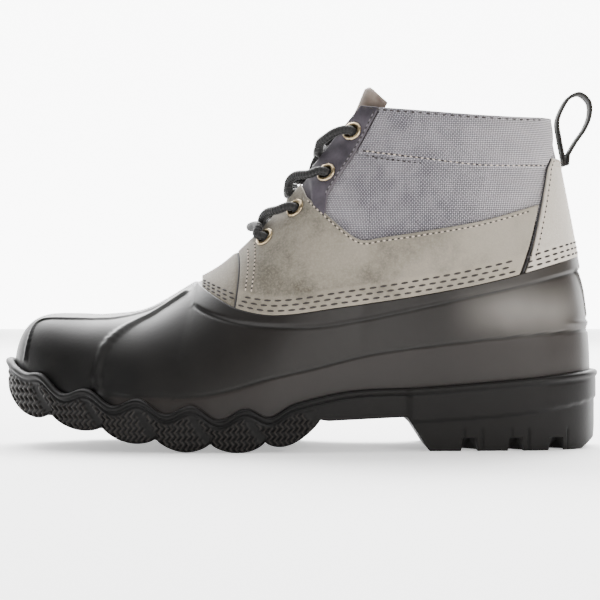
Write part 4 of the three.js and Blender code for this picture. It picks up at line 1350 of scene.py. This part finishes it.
def laces():
    """The laced part, held by the eyelets, and its two free ends with their aglets."""
    laced = lace_half(-1, -2.4)[::-1] + [middle_front(7.5, 5.4)] + lace_half(1, 2.3)
    points, faces, uv = tube_mesh(spline(laced, 0.8), LACED_R, 20)
    mesh_object("lace", points, faces, CORD, ["lace"], uv=uv)
    for name, route in TAILS.items():
        route = np.array(route) / MM
        line = spline(route, 0.8)
        points, faces, uv = tube_mesh(line, LACE_R, 18)
        tail = mesh_object(f"lace_tail_{name}", points, faces, CORD, [f"lace_tail_{name}"], uv=uv)
        way = unit(route[-1] - route[-2])
        tip = route[-1] + (AGLET_GAP + np.linspace(0, AGLET_LENGTH, 24)[:, None]) * way
        points, faces, uv = tube_mesh(tip, AGLET_R, 18)
        aglet = mesh_object(f"aglet_{name}", points, faces, PIPING, [f"aglet_{name}"], uv=uv)
        travelled(line)[-1] * MM


# The pull loop's webbing from the side, in x and z: the part that swings, and its two sewn ends.
STRAP_LINE = [[135.2, 147.6], [133.2, 158], [132.2, 166], [134.6, 173], [138.4, 178.6], [143.6, 180.6],
              [148.4, 176.6], [148.9, 170], [146.4, 163], [141.4, 155.6], [137.5, 149]]
STRAP_FEET = {"pull_loop_inner_end": [[136.0, 143.6], [135.1, 148.2]],
              "pull_loop_outer_end": [[137.2, 144.2], [137.7, 149.4]]}
STRAP_HALF_WIDTH, STRAP_HALF_THICK, STRAP_SIDES = 6, 0.9, 28


def strap(name, route, body, nodes):
    """Webbing with its flat side along the route, which lies in the boot's middle plane."""
    line = spline([[x, 0, z] for x, z in route], 0.5)
    t = unit(np.gradient(line, axis=0))
    out = np.stack([-t[:, 2], 0 * t[:, 0], t[:, 0]], -1)
    section = []
    for k in range(STRAP_SIDES):
        angle = 2 * math.pi * k / STRAP_SIDES
        c, s = math.cos(angle), math.sin(angle)
        section.append((STRAP_HALF_WIDTH * math.copysign(abs(c) ** 0.35, c),
                        STRAP_HALF_THICK * math.copysign(abs(s) ** 0.6, s)))
    rings = np.stack([line + np.array([0, y, 0]) + out * d for y, d in section], 1)
    n, m = rings.shape[:2]
    faces = [(i * m + j, i * m + (j + 1) % m, (i + 1) * m + (j + 1) % m, (i + 1) * m + j)
             for i in range(n - 1) for j in range(m)]
    faces += [tuple(range(m))[::-1], tuple(range((n - 1) * m, n * m))]
    across = np.array([y for y, _ in section]) * 0.1
    uv = np.stack(np.broadcast_arrays(travelled(line)[:, None], across), -1)
    mesh_object(name, rings.reshape(-1, 3), faces, WEBBING, nodes, uv=uv.reshape(-1, 2), body=body)


def pull_loop():
    """The loop swings above its hinge; its two ends are sewn down to the boot."""
    strap("pull_loop_strap", STRAP_LINE, "pull_loop", ["pull_loop"])
    for name, route in STRAP_FEET.items():
        strap(name, route, "boot", [])


# ------------------------------------------------------------------ stitches

# Every kind of stitch: its piece, length, width and thread.
STITCHES = {
    "short_light": ("light_stitches", 1.45, 0.8, LIGHT_THREAD),
    "long_dark": ("seam_stitches", 3.8, 1.1, DARK_THREAD),
    "short_grey": ("facing_stitches", 1.7, 0.75, GREY_THREAD),
    # Dark beads for the needle holes: painted shadow.
    "hole_shadow": ("stitch_hole_shadows", 1.35, 0.85, DARK_THREAD),
    "short_dark": ("dark_stitches", 2.1, 0.85, DARK_THREAD),
}
LONG_PITCH, SHORT_PITCH, FRONT_PITCH, COLLAR_PITCH, TAB_PITCH = 5.3, 2.9, 2.6, 4.0, 2.7
rows_of_stitches = {kind: [] for kind in STITCHES}


def sew(kind, l, v, d, pitch, from_start=0.5):
    """Lays stitches a pitch apart along a line on the wall, d millimetres off it."""
    l, v = both(l, v)
    path, out = off(l, v, d), normal(l, v)
    gone = travelled(path)
    at = np.arange(pitch * from_start, gone[-1], pitch)

    def pick(q):
        return np.stack([np.interp(at, gone, q[:, k]) for k in range(3)], -1)
    along = pick(np.gradient(path, axis=0))
    rows_of_stitches[kind].append((pick(path), unit(along), unit(pick(out))))


def lift(l, v, mm):
    """The v that is mm higher up the wall (lower when mm is negative)."""
    step = np.linalg.norm(form(l, v + 0.01) - form(l, v - 0.01), axis=-1) / 0.02
    return v + mm / step


def sew_pairs(l, v, pitch=SHORT_PITCH):
    """Light stitches with a dark bead between each two, the painted shadow of a needle hole."""
    sew("short_light", l, v, LEATHER_OUT, pitch)
    sew("hole_shadow", l, v, LEATHER_OUT, pitch, 1.0)


def sew_side(side):
    """All the seams of one side of the boot."""
    for k in range(3):
        rise = 2.1 + 2.7 * k
        l = side * np.linspace(QUARTER_FRONT - 0.02, 2.42, 260)
        sew("long_dark", l, lift(l, shell_top(l), rise), LEATHER_OUT, LONG_PITCH, 0.5 + 0.33 * k)
        l = side * np.linspace(8.75, QUARTER_FRONT + 0.1, 60)
        v = np.minimum(lift(l, shell_top(l), rise), 0.995)
        sew("long_dark", l, v, LEATHER_OUT - 0.1, LONG_PITCH, 0.3)
        l = side * np.linspace(2.2, 0.0, 80)
        sew("long_dark", l, lift(l, shell_top(l), rise), LEATHER_OUT, LONG_PITCH, 0.5)
    for back in (0.16, 0.28):
        l = np.full(80, side * (QUARTER_FRONT - back))
        low = float(lift(l[0], shell_top(l[0]), 10.5))
        sew_pairs(l, np.linspace(low, 0.93, 80), FRONT_PITCH)
    l = side * np.linspace(6.57, 1.95, 260)
    sew_pairs(l, lift(l, leather_top(l), -1.9))
    l = side * np.linspace(FACING_FOOT - 0.12, FACING_BACK + 0.07, 160)
    # Painted shadow of the needle holes between the grey stitches.
    sew("hole_shadow", l, lift(l, facing_rear(l), 1.6), LEATHER_OUT, SHORT_PITCH)
    sew("short_grey", l, lift(l, facing_rear(l), 1.6), LEATHER_OUT, SHORT_PITCH, 1.0)
    l = side * np.linspace(5.0, 1.1, 200)
    d = np.where(np.abs(l) > 4.6, LEATHER_OUT, 0.45)
    sew("short_dark", l, lift(l, l * 0 + 1.0, -1.5), d, COLLAR_PITCH)
    l = side * np.linspace(5.2, 1.25, 220)
    foot = band_foot(l)
    d = np.where(np.abs(l) > 4.9, LEATHER_OUT, 0.3)
    sew("short_dark", l, lift(l, foot, 1.3), d, SHORT_PITCH)
    sew("short_light", l, lift(l, foot, 1.3), d, SHORT_PITCH, 1.0)
    d = np.where(np.abs(l) > 4.9, LEATHER_OUT, CLOTH_OUT)
    sew("short_dark", l, lift(l, foot, -1.2), d, SHORT_PITCH, 1.0)
    b = np.linspace(0.08, 0.97, 140)
    l = on_stay_edge(side, -SEAM_GAP - 0.1, b, shell_top, stay_top)
    sew_pairs(l, mixed(shell_top(l), stay_top(l), b))
    for drop in (1.6, 4.2):
        l = side * np.linspace(0.95, 0.0, 50)
        sew("short_light", l, lift(l, stay_top(l), -drop), LEATHER_OUT, TAB_PITCH)


def stitch_tree():
    """Lays one bead of thread on every point, turned by the point's own directions."""
    tree = bpy.data.node_groups.new("stitches", "GeometryNodeTree")
    for name, kind in (("Geometry", "NodeSocketGeometry"), ("Length", "NodeSocketFloat"),
                       ("Width", "NodeSocketFloat"), ("Thread", "NodeSocketMaterial")):
        tree.interface.new_socket(name, in_out="INPUT", socket_type=kind)
    tree.interface.new_socket("Geometry", in_out="OUTPUT", socket_type="NodeSocketGeometry")
    n = Nodes(tree)
    given = n.node("NodeGroupInput")
    points, length, width, thread = (Value(n, s) for s in list(given.outputs)[:4])
    bead = n.add("GeometryNodeMeshUVSphere", None, {"Segments": 8, "Rings": 6, "Radius": 0.5})
    size = n.join(length, width, width * 0.8)
    bead = n.add("GeometryNodeTransform", None, {"Geometry": bead, "Scale": size})
    named = [n.add("GeometryNodeInputNamedAttribute", {"data_type": "FLOAT_VECTOR"}, {"Name": name})
             for name in ("along", "out")]
    turn = n.add("FunctionNodeAlignRotationToVector", {"axis": "X"}, {"Vector": named[0]})
    turn = n.add("FunctionNodeAlignRotationToVector", {"axis": "Z", "pivot_axis": "X"},
                 {"Rotation": turn, "Vector": named[1]})
    laid = n.add("GeometryNodeInstanceOnPoints", None, {"Points": points, "Instance": bead, "Rotation": turn})
    real = n.add("GeometryNodeRealizeInstances", None, {"Geometry": laid})
    done = n.add("GeometryNodeSetMaterial", None, {"Geometry": real, "Material": thread})
    n.node("NodeGroupOutput", None, {0: done})
    return tree


def stitches(kind, tree):
    """Bakes all the stitches of one kind into a piece."""
    name, length, width, thread = STITCHES[kind]
    centres, along, out = (np.concatenate(part) for part in zip(*rows_of_stitches[kind]))
    mesh = bpy.data.meshes.new(name)
    mesh.from_pydata((centres * MM).tolist(), [], [])
    for key, vectors in (("along", along), ("out", out)):
        attribute = mesh.attributes.new(key, "FLOAT_VECTOR", "POINT")
        attribute.data.foreach_set("vector", vectors.ravel())
    piece = add_object(name, mesh)
    modifier = piece.modifiers.new("stitches", "NODES")
    modifier.node_group = tree
    wanted = {"Length": length * MM, "Width": width * MM, "Thread": thread}
    for socket in tree.interface.items_tree:
        if socket.in_out == "INPUT" and socket.name in wanted:
            modifier[socket.identifier] = wanted[socket.name]
    made = baked(piece)
    piece.modifiers.remove(modifier)
    piece.data = made
    bpy.data.meshes.remove(mesh)
    made.shade_smooth()
    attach(piece, BODY)


# ------------------------------------------------------------------ studio

# Each lamp: its place, what it points at, its size, its power and its colour.
LAMPS = {
    "key light": ((0.85, -1.15, 0.75), (0.05, 0, 0.07), (0.7, 0.6), 10, WARM),
    "heel light": ((0.5, -1.3, 0.5), (0.11, 0, 0.08), (0.4, 0.4), 7, WARM),
    "left light": ((-0.9, -0.9, 0.9), (-0.05, 0, 0.06), (0.5, 0.5), 2, WHITE),
    "top light": ((0.0, 0.15, 1.3), (0, 0, 0.05), (1.6, 0.8), 18, WHITE),
    "floor light": ((0.0, 1.7, 1.6), (0, -0.1, 0), (2.4, 1.0), 190, WHITE),
}
STAGE_SIZE = 12
BACKDROP_PLACE = (0, 4, 2.5)


def floor_paint(n):
    n.surface((0.93, 0.93, 0.93), 0.9, Emission_Color=(1, 1, 1, 1), Emission_Strength=0.5)


def backdrop_paint(n):
    n.surface((0.9, 0.9, 0.9), 0.9, Emission_Color=(1, 1, 1, 1), Emission_Strength=7.5)


def stage_plane(name, look, place, tilt):
    bpy.ops.mesh.primitive_plane_add(size=STAGE_SIZE, location=place, rotation=(tilt, 0, 0))
    plane = bpy.context.object
    plane.name = name
    plane.data.materials.append(material(look))
    return plane


def studio():
    """A white floor and backdrop with soft lamps."""
    stage_plane("floor", floor_paint, (0, 0, 0), 0)
    stage_plane("backdrop", backdrop_paint, BACKDROP_PLACE, math.radians(90))
    world = bpy.data.worlds.new("grey room")
    world.use_nodes = True
    back = world.node_tree.nodes["Background"]
    back.inputs["Color"].default_value = (1, 1, 1, 1)
    back.inputs["Strength"].default_value = 0.06
    bpy.context.scene.world = world
    for name, lamp in LAMPS.items():
        softbox(name, *lamp)


# ------------------------------------------------------------------ put together

camera()
laces()
shell()
outsole()
for side, name in SIDES:
    quarter(side, name)
    canvas_panel(side, name)
    facing_strip(side, name)
    collar_band(side, name)
backstay()
gore()
tongue()
piping()
lining()
footbed()
eyelets()
pull_loop()
for side, _ in SIDES:
    sew_side(side)
stitching = stitch_tree()
for kind in STITCHES:
    stitches(kind, stitching)
studio()
